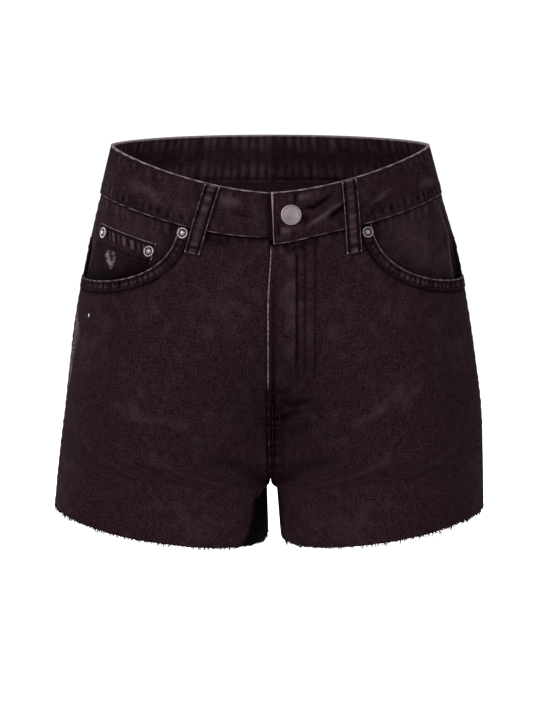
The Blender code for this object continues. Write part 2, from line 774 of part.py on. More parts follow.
def build():
    for old in list(bpy.data.objects):
        bpy.data.objects.remove(old)
    denim = cloth_material("denim", (0.020, 0.011, 0.014))
    denim_light = cloth_material("denim_light", (0.026, 0.015, 0.020))
    thread = cloth_material("thread", (0.045, 0.030, 0.035))
    silver = metal_material("silver", (0.42, 0.39, 0.39))
    halves = {side: Half(side) for side in (LEFT, RIGHT)}
    chance = random.Random(FRAY_SEED)
    for half in halves.values():
        front_panel(half, denim)
        back_panel(half, denim)
        yoke(half, denim)
        hip_facing(half, denim_light)
        back_pocket(half, denim)
        frayed_hem(half, chance, thread)
    waistband(halves, denim_light)
    fly_layers(halves, denim)
    coin_pocket(halves[RIGHT], denim)
    button(halves, silver)
    for spec in RIVETS:
        rivet(spec, halves, silver)
    for loop in LOOPS:
        belt_loop(loop, halves, denim_light)


build()
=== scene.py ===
import math

import bpy
import numpy as np
from mathutils import Matrix, Vector
from mathutils.bvhtree import BVHTree


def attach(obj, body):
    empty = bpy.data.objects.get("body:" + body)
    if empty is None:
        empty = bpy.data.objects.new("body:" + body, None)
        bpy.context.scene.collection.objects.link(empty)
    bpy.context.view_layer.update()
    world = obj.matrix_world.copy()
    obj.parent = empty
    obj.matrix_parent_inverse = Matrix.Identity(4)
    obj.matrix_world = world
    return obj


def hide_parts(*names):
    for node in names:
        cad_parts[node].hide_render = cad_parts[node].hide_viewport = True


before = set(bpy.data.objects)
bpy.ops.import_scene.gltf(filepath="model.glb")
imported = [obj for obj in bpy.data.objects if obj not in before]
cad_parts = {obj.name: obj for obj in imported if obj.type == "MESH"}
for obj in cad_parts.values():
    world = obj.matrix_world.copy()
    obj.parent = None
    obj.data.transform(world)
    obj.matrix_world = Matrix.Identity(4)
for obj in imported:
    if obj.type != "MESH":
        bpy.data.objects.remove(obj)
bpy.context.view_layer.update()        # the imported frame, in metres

print("frame loaded:", len(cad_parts), "nodes")

# Sizes are in mm until a mesh is made. left and right are the wearer's, and +X is the wearer's left.
mm = 0.001
farAway = 1e3
left, right = 1, -1
sideNames = {left: "left", right: "right"}

# The garment's surface, as in the CAD source: drop runs down the side seam from the waist's edge,
# and turn runs round from the centre front (0) over the side seam (1) to the centre back (2).
cut = {
    "gap": 0.04,
    "band": 40.0,
    "rise": 227.0,
    "crotch": 259.0,
    "hem": 308.5,
    "crotchY": 8.0,
    "archHalf": {left: 4.6, right: 3.4},
    "archDrop": 4.0,
    "legSpread": {left: 3.6, right: -1.6},
    "seamDip": 25.0,
    "foldStart": 0.2,
    "foldCrotch": 6.0,
    "foldHem": 3.0,
    "riseFront": 1.6,
    "riseBack": 2.0,
    "innerReach": 0.34,
    "outerReach": 0.39,
    "firstDrop": -6.0,
    "lastDrop": 318.0,
    "torsoSteps": 116,
    "crotchSteps": 46,
    "legSteps": 36,
    "arcSteps": 64,
}
sections = {
    "drop": (0, 40, 94, 140, 190, 227, 259, 315),
    "left": (133.2, 144.0, 159.8, 168.6, 176.2, 180.6, 182.0, 183.4),
    "right": (133.6, 143.2, 156.0, 165.2, 171.8, 176.0, 180.2, 186.0),
    "front": (92, 97, 106, 112, 114, 114, 114, 114),
    "frontX": (62, 66, 74, 80, 85, 89, 93, 95),
    "frontY": (84.5, 90, 99, 105, 108, 106, 104, 100),
    "frontSlant": (16, 14, 12, 10, 7, 3, 0, 0),
    "backX": (62, 68, 78, 84, 87, 90, 94, 95),
    "backY": (85, 93, 108, 118, 121, 119, 113, 104),
    "backSlant": (16, 13, 9, 6, 4, 2, 0, 0),
    "back": (92, 99, 113, 121, 123, 122, 121, 121),
}
levels = {
    "drop": (0, 40, 227, 259, 315),
    "front": (20.8, -17.2, -195.0, -225.0, -282.5),
    "side": (54, 14, -173.0, -204.0, -257.5),
    "back": (57, 15, -185, -225, -281),
}

# Soft creases: half, face, points as (drop, mm from the centre), height out (+) or in (-), half width
creases = (
    (left, "front", ((11, 51), (19, 43), (25, 36), (33, 27)), -1.0, 2.6),
    (left, "front", ((14, 56), (23, 47), (31, 37)), 0.7, 3.5),
    (left, "front", ((16, 99), (20, 88), (23, 78)), -0.9, 2.4),
    (left, "front", ((27, 146), (36, 158)), -0.8, 1.8),
    (left, "front", ((24, 154), (33, 165)), -0.7, 1.8),
    (right, "front", ((12, 30), (24, 36), (34, 38)), -0.6, 4.0),
    (right, "front", ((10, 96), (22, 104), (32, 118)), -0.6, 4.5),
    (left, "front", ((178, -2), (178.5, 16), (176, 36)), -1.3, 2.2),
    (left, "front", ((185, -2), (187, 18), (184, 40)), 0.8, 4.0),
    (left, "front", ((196, 4), (199, 22), (206, 46)), -0.8, 4.5),
    (right, "front", ((203, 60), (204, 99), (201, 118), (199, 142)), 1.2, 7.0),
    (right, "front", ((214, 20), (216, 48), (214, 84)), -1.0, 7.0),
    (left, "front", ((206, 52), (200, 82), (190, 96), (175, 110)), 1.3, 7.0),
    (left, "front", ((218, 14), (214, 48), (206, 88)), -1.0, 7.0),
    (right, "front", ((231, 10), (236, 34), (234, 62)), -1.2, 5.0),
    (left, "front", ((232, 8), (238, 30), (236, 64)), -1.2, 5.0),
    (left, "front", ((120, 60), (150, 78), (186, 84)), -0.7, 9.0),
    (right, "front", ((110, 50), (146, 70), (176, 74)), -0.6, 9.0),
    (right, "back", ((226, 34), (234, 74), (230, 128)), -1.6, 7.0),
    (left, "back", ((228, 28), (237, 66), (236, 116)), -1.5, 6.5),
    (right, "back", ((214, 26), (219, 62), (214, 96)), 1.0, 7.0),
    (left, "back", ((246, 52), (250, 92), (244, 132)), -1.0, 6.0),
    (right, "back", ((256, 70), (262, 118), (258, 160)), 1.0, 9.0),
    (left, "back", ((84, 14), (100, 20), (122, 18)), -0.6, 6.0),
    (right, "back", ((88, 10), (112, 16), (130, 12)), -0.6, 6.0),
)


def smooth(table, column, drop):  # a cubic through the column's values
    x = np.array(table["drop"], float)
    y = np.array(table[column], float)
    slope = np.gradient(y, x)
    i = int(np.clip(np.searchsorted(x, drop) - 1, 0, len(x) - 2))
    step = x[i + 1] - x[i]
    t = (drop - x[i]) / step
    rising = t * t * (3 - 2 * t)
    bow = step * t * (1 - t) * ((1 - t) * slope[i] - t * slope[i + 1])
    return (1 - rising) * y[i] + rising * y[i + 1] + bow


def ramp(value, start, end):  # 0 before start, 1 past end
    t = np.clip((np.asarray(value, float) - start) / (end - start), 0, 1)
    return t * t * (3 - 2 * t)


def hump(away, width):  # 1 where away is 0, and soft to both sides
    return np.exp(-((away / width) ** 2))


def arc(start, startWay, end, endWay, reach):
    start, startWay, end, endWay = (np.array(v) for v in (start, startWay, end, endWay))
    length = reach * np.linalg.norm(end - start)
    t = np.linspace(0, 1, cut["arcSteps"] + 1)[:, None]
    first = (1 - t) ** 3 * start + 3 * t * (1 - t) ** 2 * (start + length * startWay)
    return first + 3 * t * t * (1 - t) * (end - length * endWay) + t**3 * end


def folded(start, end, power):  # a leg's corner at the inseam, as a superellipse
    t = np.linspace(0, math.pi / 2, cut["arcSteps"] + 1)
    x = end[0] - (end[0] - start[0]) * np.cos(t).clip(0) ** (2 / power)
    y = start[1] + (end[1] - start[1]) * np.sin(t) ** (2 / power)
    return np.stack([x, y], axis=1)


def runAlong(line):  # how far along the line each of its points lies
    return np.concatenate([[0], np.cumsum(np.linalg.norm(np.diff(line, axis=0), axis=1))])


def evened(points, count):  # the same line in equal steps, and its length
    along = runAlong(points)
    even = np.linspace(0, along[-1], count + 1)
    return np.stack([np.interp(even, along, column) for column in points.T], axis=1), along[-1]


def quarter(side, drop, way):  # front (-1) or back (1) of one half's section
    name = "front" if way < 0 else "back"
    width = smooth(sections, sideNames[side], drop)
    share = float(np.clip((drop - cut["rise"]) / (cut["crotch"] - cut["rise"]), 0, 1))
    bend = share * math.pi / 2
    below = max(0.0, drop - cut["crotch"])
    toHem = below / (cut["hem"] - cut["crotch"])
    arch = 1 - min(1.0, below / cut["archDrop"])
    innerX = cut["gap"] / 2 + cut["archHalf"][side] * math.sqrt(1 - arch * arch)
    innerX += cut["legSpread"][side] * toHem
    centre = way * smooth(sections, name, drop)
    inner = (innerX, cut["crotchY"] + (centre - cut["crotchY"]) * math.cos(bend))
    slant = math.radians(smooth(sections, name + "Slant", drop))
    crown = (smooth(sections, name + "X", drop), way * smooth(sections, name + "Y", drop))
    crownWay = (math.cos(slant), -way * math.sin(slant))
    folding = max(0.0, share - cut["foldStart"]) / (1 - cut["foldStart"])
    fold = math.sin(folding * math.pi / 2)
    power = cut["foldCrotch"] + (cut["foldHem"] - cut["foldCrotch"]) * toHem
    innerArc = (1 - fold) * arc(inner, (1.0, 0.0), crown, crownWay, cut["innerReach"])
    innerArc += fold * folded(inner, crown, power)
    outerArc = arc(crown, crownWay, (width, 0.0), (0.0, -way), cut["outerReach"])
    plan = np.concatenate([innerArc[:-1], outerArc])
    centreZ = smooth(levels, name, drop)
    sideZ = smooth(levels, "side", drop)
    power = cut["riseFront"] if way < 0 else cut["riseBack"]
    z = centreZ + (sideZ - centreZ) * (plan[:, 0] / width) ** power
    if 0 < share < 1:
        riseZ = smooth(levels, name, cut["rise"])
        seamZ = riseZ + (smooth(levels, name, cut["crotch"]) - riseZ) * math.sin(bend)
        z += (seamZ - centreZ) * np.exp(-plan[:, 0] / cut["seamDip"])
    return evened(np.stack([side * plan[:, 0], plan[:, 1], z], axis=1), 2 * cut["arcSteps"])


class Half:  # one half of the garment
    def __init__(self, side):
        self.side = side
        torso = np.linspace(cut["firstDrop"], cut["rise"], cut["torsoSteps"] + 1)[:-1]
        crotch = np.linspace(cut["rise"], cut["crotch"], cut["crotchSteps"] + 1)[:-1]
        legs = np.linspace(cut["crotch"], cut["lastDrop"], cut["legSteps"] + 1)
        self.drops = np.concatenate([torso, crotch, legs])
        fronts = [quarter(side, drop, -1) for drop in self.drops]
        backs = [quarter(side, drop, 1) for drop in self.drops]
        self.frontLengths = np.array([length for _, length in fronts])
        self.backLengths = np.array([length for _, length in backs])
        self.points = np.array([np.concatenate([f, b[::-1][1:]]) for (f, _), (b, _) in zip(fronts, backs)])
        self.normals = self.outward()
        self.crease()
        self.normals = self.outward()

    def outward(self):
        normals = np.cross(np.gradient(self.points, axis=0), np.gradient(self.points, axis=1))
        normals *= self.side
        torso = self.drops < cut["crotch"]
        normals[torso, 0, 0] = 0
        normals[torso, -1, 0] = 0
        edges = [normals[~torso, k] for k in (0, -1)]
        edges = [e / np.linalg.norm(e, axis=1, keepdims=True) for e in edges]
        normals[~torso, 0] = edges[0] + edges[1]
        normals[~torso, -1] = edges[0] + edges[1]
        return normals / np.linalg.norm(normals, axis=2, keepdims=True)

    def crease(self):
        turns = np.linspace(0, 2, self.points.shape[1])[None, :]
        drops = self.drops[:, None]
        mmFront = turns * self.frontLengths[:, None]
        mmBack = (2 - turns) * self.backLengths[:, None]
        for side, face, line, height, width in creases:
            if side != self.side:
                continue
            onFace, fromCentre = (turns <= 1, mmFront) if face == "front" else (turns >= 1, mmBack)
            across = np.where(onFace, fromCentre, farAway)
            place = np.stack([drops + 0 * across, across], axis=-1)
            away, share = nearLine(place.reshape(-1, 2), np.array(line, float))
            lift = height * hump(away, width) * np.sin(math.pi * share) ** 0.6
            self.points += self.normals * lift.reshape(across.shape)[..., None]

    def frontLength(self, drop):
        return np.interp(drop, self.drops, self.frontLengths)

    def backLength(self, drop):
        return np.interp(drop, self.drops, self.backLengths)

    def at(self, drop, turn):  # points and outward normals
        drop, turn = np.broadcast_arrays(np.asarray(drop, float), np.asarray(turn, float))
        last = self.points.shape[1] - 1
        row = np.interp(drop, self.drops, np.arange(len(self.drops)))
        column = np.clip(turn * last / 2, 0, last)
        i = np.minimum(row.astype(int), len(self.drops) - 2)
        j = np.minimum(column.astype(int), last - 1)
        a = (row - i)[..., None]
        b = (column - j)[..., None]
        found = [
            (1 - a) * ((1 - b) * grid[i, j] + b * grid[i, j + 1])
            + a * ((1 - b) * grid[i + 1, j] + b * grid[i + 1, j + 1])
            for grid in (self.points, self.normals)
        ]
        return found[0], found[1] / np.linalg.norm(found[1], axis=-1, keepdims=True)


def nearLine(places, line):  # distance to a line of points, and the share of its length there
    along = runAlong(line)
    best = np.full(len(places), np.inf)
    share = np.zeros(len(places))
    for i, step in enumerate(np.linalg.norm(np.diff(line, axis=0), axis=1)):
        way = (line[i + 1] - line[i]) / step
        run = np.clip((places - line[i]) @ way, 0, step)
        away = np.linalg.norm(places - (line[i] + run[:, None] * way), axis=1)
        closer = away < best
        best = np.where(closer, away, best)
        share = np.where(closer, (along[i] + run) / along[-1], share)
    return best, share


def ripple(along, pitch, seed):  # uneven crests along a seam, 0 to 1
    chance = np.random.default_rng(seed)
    count = int(np.max(along) / pitch) + 6
    knots = (np.arange(count) - 2 + chance.uniform(-0.3, 0.3, count)) * pitch
    heights = chance.uniform(0.3, 1.0, count)
    phase = np.interp(along, knots, np.arange(count))
    return np.interp(along, knots, heights) * (0.5 + 0.5 * np.cos(2 * math.pi * phase))


class Relief:  # what a wall's outer face gets: height in mm, how washed and how lit by painted highlights, how worn, how dark with painted shade, and how rubbed
    def __init__(self, drops):
        layers = (np.zeros(np.shape(drops)) for _ in range(5))
        self.lift, self.wash, self.worn, self.shade, self.rub = layers

    def pucker(self, window, crest, height=0.6, wash=0.6, dark=0.5):
        # crests get lighter, partly as fading and partly as a painted highlight, and troughs get painted
        # shade
        self.lift += height * window * (crest - 0.45)
        self.wash += wash * window * crest**1.5
        self.shade += dark * window * (1 - crest) ** 2

    def groove(self, away, where=1.0, depth=0.25, dark=0.5, width=0.75):  # a sewn line, sunk a little, with painted shade along it
        line = where * hump(away, width)
        self.lift -= depth * line
        self.shade += dark * line

    def edge(self, away, amount=1.0, width=1.1, where=1.0):
        self.worn += amount * where * hump(away, width)

    def marks(self, places, table):  # (line, amount, width): lighter where the amount is over 0, by fading and painted highlight, else painted shade
        places = np.stack(np.broadcast_arrays(*places), axis=-1).reshape(-1, 2)
        for line, amount, width in table:
            away, share = nearLine(places, np.array(line, float))
            mark = abs(amount) * hump(away, width) * np.sin(math.pi * share) ** 0.5
            layer = self.wash if amount > 0 else self.shade
            layer += mark.reshape(layer.shape)

    def rubs(self, places, table):  # (line, amount, width): worn down to the pale threads
        places = np.stack(places, axis=-1).reshape(-1, 2)
        for line, amount, width in table:
            away, _ = nearLine(places, np.array(line, float))
            self.rub += (amount * hump(away, width)).reshape(self.rub.shape)

    def shadow(self, away, amount, width, where=1.0):
        self.shade += amount * where * hump(away, width)

    def masks(self, **more):
        found = {"wash": self.wash, "worn": self.worn, "rub": self.rub, "shade": np.clip(self.shade, 0, 1)}
        found.update({name + "Inner": 0.0 for name in ("shade", "rub", "worn", "wash")}, insideInner=1.0)
        found.update(more)
        return found


halves = {side: Half(side) for side in (left, right)}
print("surface ready")


# Materials
class Wire:  # a socket, so that shader maths reads as plain sums
    def __init__(self, finish, socket):
        self.finish, self.socket = finish, socket

    def maths(self, operation, *values, clamp=False):
        settings = {"operation": operation, "use_clamp": clamp}
        return self.finish.node("ShaderNodeMath", settings, values)

    def __add__(self, other):
        return self.maths("ADD", self, other)

    def __sub__(self, other):
        return self.maths("SUBTRACT", self, other)

    def __rsub__(self, other):
        return self.maths("SUBTRACT", other, self)

    def __mul__(self, other):
        return self.maths("MULTIPLY", self, other)

    __radd__ = __add__
    __rmul__ = __mul__

    def clamped(self):
        return self.maths("ADD", self, 0.0, clamp=True)

    def step(self, start, end):  # 0 before start, 1 past end
        settings = {"interpolation_type": "SMOOTHSTEP"}
        return self.finish.node("ShaderNodeMapRange", settings, {0: self, 1: start, 2: end})


class Finish:  # one material and its nodes
    def __init__(self, name):
        self.material = bpy.data.materials.new(name)
        self.material.use_nodes = True
        self.tree = self.material.node_tree
        self.shader = self.tree.nodes["Principled BSDF"]

    def node(self, kind, settings=None, values=(), output=0):
        made = self.tree.nodes.new(kind)
        for key, value in (settings or {}).items():
            setattr(made, key, value)
        pairs = values.items() if isinstance(values, dict) else enumerate(values)
        for key, value in pairs:
            if isinstance(value, Wire):
                self.tree.links.new(value.socket, made.inputs[key])
            else:
                made.inputs[key].default_value = value
        return Wire(self, made.outputs[output])

    def mix(self, share, first, second):
        first, second = (c if isinstance(c, Wire) else (*c, 1.0) for c in (first, second))
        return self.node("ShaderNodeMix", {"data_type": "RGBA"}, {0: share, 6: first, 7: second}, 2)

    def stretched(self, vector, scale):
        return self.node("ShaderNodeVectorMath", {"operation": "MULTIPLY"}, [vector, scale])

    def noise(self, vector, scale, detail=2.0, roughness=0.5):
        values = {"Vector": vector, "Scale": scale, "Detail": detail, "Roughness": roughness}
        return self.node("ShaderNodeTexNoise", {}, values)

    def mask(self, name):
        return self.node("ShaderNodeAttribute", {"attribute_name": name}, (), 2)

    def millimetres(self, place):  # a place in metres
        return self.stretched(place, (1000.0, 1000.0, 1000.0))

    def bump(self, height, strength, depth):
        values = {"Strength": strength, "Distance": depth, "Height": height}
        return self.node("ShaderNodeBump", {}, values)

    def feed(self, **sockets):
        for name, value in sockets.items():
            target = self.shader.inputs[name.replace("_", " ")]
            if isinstance(value, Wire):
                self.tree.links.new(value.socket, target)
            else:
                target.default_value = value


denim = {  # colours for strong lamps, so they are darker than the cloth looks
    "dark": (0.0007, 0.0002, 0.0003),
    "thread": (0.0088, 0.0044, 0.0057),
    # the colour of faded cloth, also used for painted highlights
    "wash": (0.0290, 0.0195, 0.0220),
    "worn": (0.0680, 0.0520, 0.0560),
    "inside": (0.0085, 0.0048, 0.0060),
    # the colour that painted shade darkens the cloth towards
    "hollow": (0.0004, 0.00015, 0.0002),
    "fleckColour": (0.22, 0.20, 0.205),
    "twill": 1.5,  # mm from rib to rib
    "roughness": 0.92,
    "specular": 0.0015,
    "fleck": (172.9, 135.0),  # a speck of bleach on the right front: mm across and down
}


def denimFinish(name, lighter=1.0, fleck=False):
    finish = Finish(name)
    uv = finish.node("ShaderNodeUVMap", {"uv_map": "cloth"})
    place = finish.millimetres(uv)
    axes = [finish.node("ShaderNodeSeparateXYZ", {}, [place], k) for k in (0, 1)]
    # ribs of the twill, broken by the yarns' own slubs
    jitter = finish.noise(finish.stretched(place, (0.9, 0.25, 1.0)), 1.0)
    phase = (axes[0] * 1.15 + axes[1] + jitter * 1.3) * (2 * math.pi / (denim["twill"] * 1.52))
    rib = phase.maths("SINE", phase) * 0.5 + 0.5
    warp = finish.noise(finish.stretched(place, (1.05, 0.10, 1.0)), 1.0, 3.0, 0.75)
    weft = finish.noise(finish.stretched(place, (0.14, 1.1, 1.0)), 1.0, 3.0, 0.7)
    grain = finish.noise(place, 0.72, 3.0, 0.75)
    mottle = finish.noise(place, 0.085, 4.0, 0.6)
    cloud = finish.noise(place, 0.022, 2.0, 0.5)
    patches = finish.noise(place, 0.16, 2.0, 0.5)
    yarn = (rib * 0.34 + (warp - 0.5) * 1.4 + (weft - 0.5) * 1.2 + (grain - 0.5) * 2.4 + 0.28).clamped()
    colour = finish.mix(yarn, denim["dark"], denim["thread"])
    # lighter cloth from fading and from painted highlights, through the mask, with mottled tone
    wash = finish.mask("wash") * (patches * 0.9 + 0.5)
    wash = wash + (mottle - 0.5) * 0.30 * lighter + (cloud - 0.5) * 0.20
    wash = (wash * (rib * 0.5 + grain * 1.4 + 0.1) + (lighter - 1.0) * 0.06).clamped()
    colour = finish.mix(wash, colour, denim["wash"])
    worn = finish.mask("worn") * (patches * 1.1 + 0.55) - (grain * 0.6 + warp * 0.3) * 0.6
    worn = worn.step(0.05, 0.80)
    colour = finish.mix(worn, colour, denim["worn"])
    streaks = finish.noise(finish.stretched(place, (1.2, 0.45, 1.0)), 1.0, 3.0, 0.7).step(0.36, 0.64)
    rub = (finish.mask("rub") + streaks - 1.0).step(0.0, 0.35)
    colour = finish.mix(rub, colour, denim["worn"])
    inside = finish.mask("inside")
    back = finish.mix(yarn, denim["dark"], denim["inside"])
    colour = finish.mix(inside * 0.85, colour, back)
    if fleck:
        spot = (denim["fleck"][0] * 1.6, -denim["fleck"][1], 0.0)
        ends = [finish.stretched(place, (1.6, 1.0, 0.0)), spot]
        away = finish.node("ShaderNodeVectorMath", {"operation": "DISTANCE"}, ends, 1)
        colour = finish.mix(1.0 - away.step(0.9, 1.7), colour, denim["fleckColour"])
    # painted shade: the shade mask darkens the cloth towards the hollow colour
    shade = finish.mask("shade")
    colour = finish.mix((shade * 0.94).clamped(), colour, denim["hollow"])
    height = rib * 0.5 + warp * 0.5 + weft * 0.4 + grain * 0.5
    normal = finish.bump(height, 0.7, 0.00035)
    finish.feed(Base_Color=colour, Roughness=denim["roughness"] - worn * 0.1, Normal=normal)
    finish.feed(Specular_IOR_Level=denim["specular"])
    return finish.material


thread = {
    "dark": (0.0011, 0.0004, 0.0006),
    "light": (0.0066, 0.0034, 0.0044),
    "worn": (0.024, 0.016, 0.0185),
    "specular": 0.004,
}


def threadFinish(name, worn):
    finish = Finish(name)
    place = finish.millimetres(finish.node("ShaderNodeTexCoord", {}, (), 3))
    ply = finish.noise(place, 2.6, 2.0, 0.6)
    patch = finish.noise(place, 0.12, 3.0, 0.6)
    colour = finish.mix(ply, thread["dark"], thread["light"])
    colour = finish.mix((patch - 0.5).step(0.05, 0.3) * worn, colour, thread["worn"])
    normal = finish.bump(ply, 0.4, 0.0001)
    finish.feed(Base_Color=colour, Roughness=0.8 + ply * 0.1, Normal=normal)
    finish.feed(Specular_IOR_Level=thread["specular"])
    return finish.material


metal = {
    "bright": (0.092, 0.076, 0.078),
    "dull": (0.070, 0.058, 0.060),
    "dark": (0.010, 0.008, 0.009),
}


def metalFinish(name, rough):
    finish = Finish(name)
    place = finish.millimetres(finish.node("ShaderNodeTexCoord", {}, (), 3))
    tarnish = finish.noise(place, 0.35, 4.0, 0.65)
    fine = finish.noise(finish.stretched(place, (1.0, 1.0, 6.0)), 2.2, 2.0, 0.6)
    patina = (finish.mask("patina") + (tarnish - 0.5) * 0.35).clamped()
    colour = finish.mix(tarnish.step(0.35, 0.75), metal["bright"], metal["dull"])
    colour = finish.mix(patina, colour, metal["dark"])
    normal = finish.bump(fine, 0.25, 0.00008)
    roughness = rough + (fine - 0.5) * 0.15 + patina * 0.25
    finish.feed(Base_Color=colour, Roughness=roughness.clamped(), Normal=normal, Metallic=1.0)
    return finish.material


finishes = {
    "denim": denimFinish("washedDenim"),
    "denimFront": denimFinish("washedDenimRightFront", fleck=True),
    "denimLight": denimFinish("washedDenimBand", lighter=1.15),
    "thread": threadFinish("topstitchThread", 0.8),
    "fringe": threadFinish("hemThreads", 0.1),
    "button": metalFinish("mattMetal", 0.42),
    "rivet": metalFinish("rivetMetal", 0.45),
}
print("materials ready:", len(finishes))


# Cloth
def choose(obj):  # the only one selected, and the active one
    bpy.ops.object.select_all(action="DESELECT")
    obj.select_set(True)
    bpy.context.view_layer.objects.active = obj


def meshPiece(name, points, faces):
    mesh = bpy.data.meshes.new(name)
    mesh.from_pydata((points * mm).tolist(), [], faces)
    mesh.update()
    obj = bpy.data.objects.new(name, mesh)
    bpy.context.scene.collection.objects.link(obj)
    return obj


def finished(obj, node, finish):
    obj.data.materials.clear()
    obj.data.materials.append(finishes[finish])
    if node:
        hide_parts(*node)
    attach(obj, "root")


def clothPiece(name, outer, inner, uv, masks, hole=None, bevel=0.4):
    # A wall between two grids of points, as a grid that Solidify doubles and Bevel rounds at its edges
    rows, columns = outer.shape[:2]
    bpy.ops.object.select_all(action="DESELECT")
    bpy.ops.mesh.primitive_grid_add(x_subdivisions=columns - 1, y_subdivisions=rows - 1, size=1)
    obj = bpy.context.object
    obj.name = name
    mesh = obj.data
    mesh.vertices.foreach_set("co", (outer.reshape(-1, 3) * mm).ravel())
    corner = np.zeros(len(mesh.loops), int)
    mesh.loops.foreach_get("vertex_index", corner)
    mesh.uv_layers[0].name = "cloth"
    mesh.uv_layers[0].data.foreach_set("uv", (uv.reshape(-1, 2) * mm)[corner].ravel())
    index = mesh.attributes.new("gridIndex", "INT", "POINT")
    index.data.foreach_set("value", np.arange(rows * columns))
    for key in ("wash", "worn", "rub", "shade", "inside"):
        value = masks.get(key, 0.0)
        layer = mesh.attributes.new(key, "FLOAT", "POINT")
        layer.data.foreach_set("value", np.broadcast_to(value, (rows, columns)).astype(np.float32).ravel())
    mesh.update()
    middle = mesh.polygons[len(mesh.polygons) // 2 + columns // 2]
    outward = (outer - inner).reshape(-1, 3)[middle.vertices[0]]
    if Vector(outward).dot(middle.normal) < 0:
        mesh.flip_normals()
    if hole:
        (firstRow, lastRow), (firstColumn, lastColumn) = hole
        bpy.ops.object.mode_set(mode="EDIT")
        bpy.ops.mesh.select_all(action="DESELECT")
        bpy.ops.object.mode_set(mode="OBJECT")
        for i in range(firstRow, lastRow):
            for j in range(firstColumn, lastColumn):
                mesh.polygons[i * (columns - 1) + j].select = True
        bpy.ops.object.mode_set(mode="EDIT")
        bpy.ops.mesh.select_mode(type="FACE")
        bpy.ops.mesh.delete(type="FACE")
        bpy.ops.object.mode_set(mode="OBJECT")
    count = len(mesh.vertices)
    wall = obj.modifiers.new("wall", "SOLIDIFY")
    wall.thickness = mm
    wall.offset = -1
    bpy.ops.object.modifier_apply(modifier=wall.name)
    mesh = obj.data
    places = np.zeros(len(mesh.vertices), int)
    mesh.attributes["gridIndex"].data.foreach_get("value", places)
    flat = np.zeros(len(mesh.vertices) * 3)
    mesh.vertices.foreach_get("co", flat)
    flat = flat.reshape(-1, 3)
    flat[count:] = (inner.reshape(-1, 3) * mm)[places[count:]]
    mesh.vertices.foreach_set("co", flat.ravel())
    for key, value in masks.items():
        if key.endswith("Inner"):
            layer = mesh.attributes[key[:-5]]
            values = np.zeros(len(mesh.vertices), np.float32)
            layer.data.foreach_get("value", values)
            grid = np.broadcast_to(value, (rows, columns)).ravel()
            values[count:] = grid[places[count:]]
            layer.data.foreach_set("value", values)
    mesh.attributes.remove(mesh.attributes["gridIndex"])
    mesh.update()
    if bevel:
        edge = obj.modifiers.new("edge", "BEVEL")
        edge.width = bevel * mm
        edge.segments = 2
        edge.limit_method = "ANGLE"
        edge.angle_limit = math.radians(58)
        edge.use_clamp_overlap = True
        bpy.ops.object.modifier_apply(modifier=edge.name)
    bpy.ops.object.shade_smooth_by_angle(angle=math.radians(50))
    return obj


def steps(*runs):  # places from runs of (start, end, step), each start given once
    places = []
    for start, end, step in runs:
        places += list(np.linspace(start, end, max(1, round(abs(end - start) / step)), endpoint=False))
    return np.array(places + [runs[-1][1]])


def bandSeam(side, distance):
    droop = 4.3 if side == left else -1.3
    return cut["band"] + droop * hump(distance, 30.0)


mouths = {left: {"start": 0.425, "depth": 70.0}, right: {"start": 0.387, "depth": 70.0}}
mouthPower = 2.25
# mm across the pattern where a piece starts, so that no two pieces show the same of it
patternAt = {
    "back": 400,
    "yoke": 750,
    "waistband": 900,
    "facing": 1100,
    "coin": 1300,
    "patch": 1500,
    "flyFacing": 1700,
    "flyShield": 1800,
    "loops": 1900,
}
mouthSteps = 260


def mouthPath(side):  # (drop, turn) along the pocket mouth, from the waistband to the side seam
    mouth = mouths[side]
    t = np.linspace(0, math.pi / 2, mouthSteps)
    across = np.cos(t).clip(0) ** (2 / mouthPower)
    down = np.sin(t) ** (2 / mouthPower)
    return cut["band"] + mouth["depth"] * down, 1 - (1 - mouth["start"]) * across


def mouthMeasure(side, drop, turn):
    mouth = mouths[side]
    across = np.clip((1 - np.asarray(turn, float)) / (1 - mouth["start"]), 0, None)
    down = np.clip((np.asarray(drop, float) - cut["band"]) / mouth["depth"], 0, None)
    return (across**mouthPower + down**mouthPower) ** (1 / mouthPower)


fly = {
    "width": 37.0,
    "bend": 150.0,
    "bottom": 177.5,
    "raise": 0.6,
    "fold": 21.5,
    "rows": ((27.9, 169.5), (36.4, 176.7)),  # mm from the centre, and where the row ends
}


def flyBottom(distance, width=fly["width"], bottom=fly["bottom"]):
    out = np.clip(distance / width, 0, 1)
    return fly["bend"] + (bottom - fly["bend"]) * np.sqrt(1 - out * out)


def farFrom(points, line, reach):  # distance and run along a line in space, where it is within reach
    flat = points.reshape(-1, 3)
    line = np.asarray(line)
    away = np.full(len(flat), farAway)
    run = np.zeros(len(flat))
    low, high = line.min(0) - reach, line.max(0) + reach
    near = np.where(((flat > low) & (flat < high)).all(1))[0]
    length = np.linalg.norm(np.diff(line, axis=0), axis=1).sum()
    for part in np.array_split(near, max(1, len(near) // 4000)):
        if len(part):
            away[part], share = nearPath(flat[part], line)
            run[part] = share * length
    shape = points.shape[:-1]
    return away.reshape(shape), run.reshape(shape)


def nearPath(places, line):  # as nearLine, for a line of many short steps
    along = runAlong(line)
    gaps = np.linalg.norm(places[:, None] - line[None], axis=2)
    nearest = np.clip(gaps.argmin(1), 1, len(line) - 2)
    way = line[nearest + 1] - line[nearest - 1]
    way /= np.linalg.norm(way, axis=1, keepdims=True)
    gap = places - line[nearest]
    run = np.clip((gap * way).sum(1), -2, 2)
    away = np.linalg.norm(gap - run[:, None] * way, axis=1)
    return away, np.clip((along[nearest] + run) / along[-1], 0, 1)


front = {
    "wall": 1.5,
    "flyEnd": 39,
    "mouthHem": 8.5,
    "mouthEdge": 2.4,
    "mouthRaise": 0.8,
    "mouthRows": (1.8, 7.2),
    "crotchFell": 8.6,
    "crotchRows": (2.0, 7.2),
}
rowStarts = steps((0, 1.2, 0.4), (1.2, 12, 0.72))


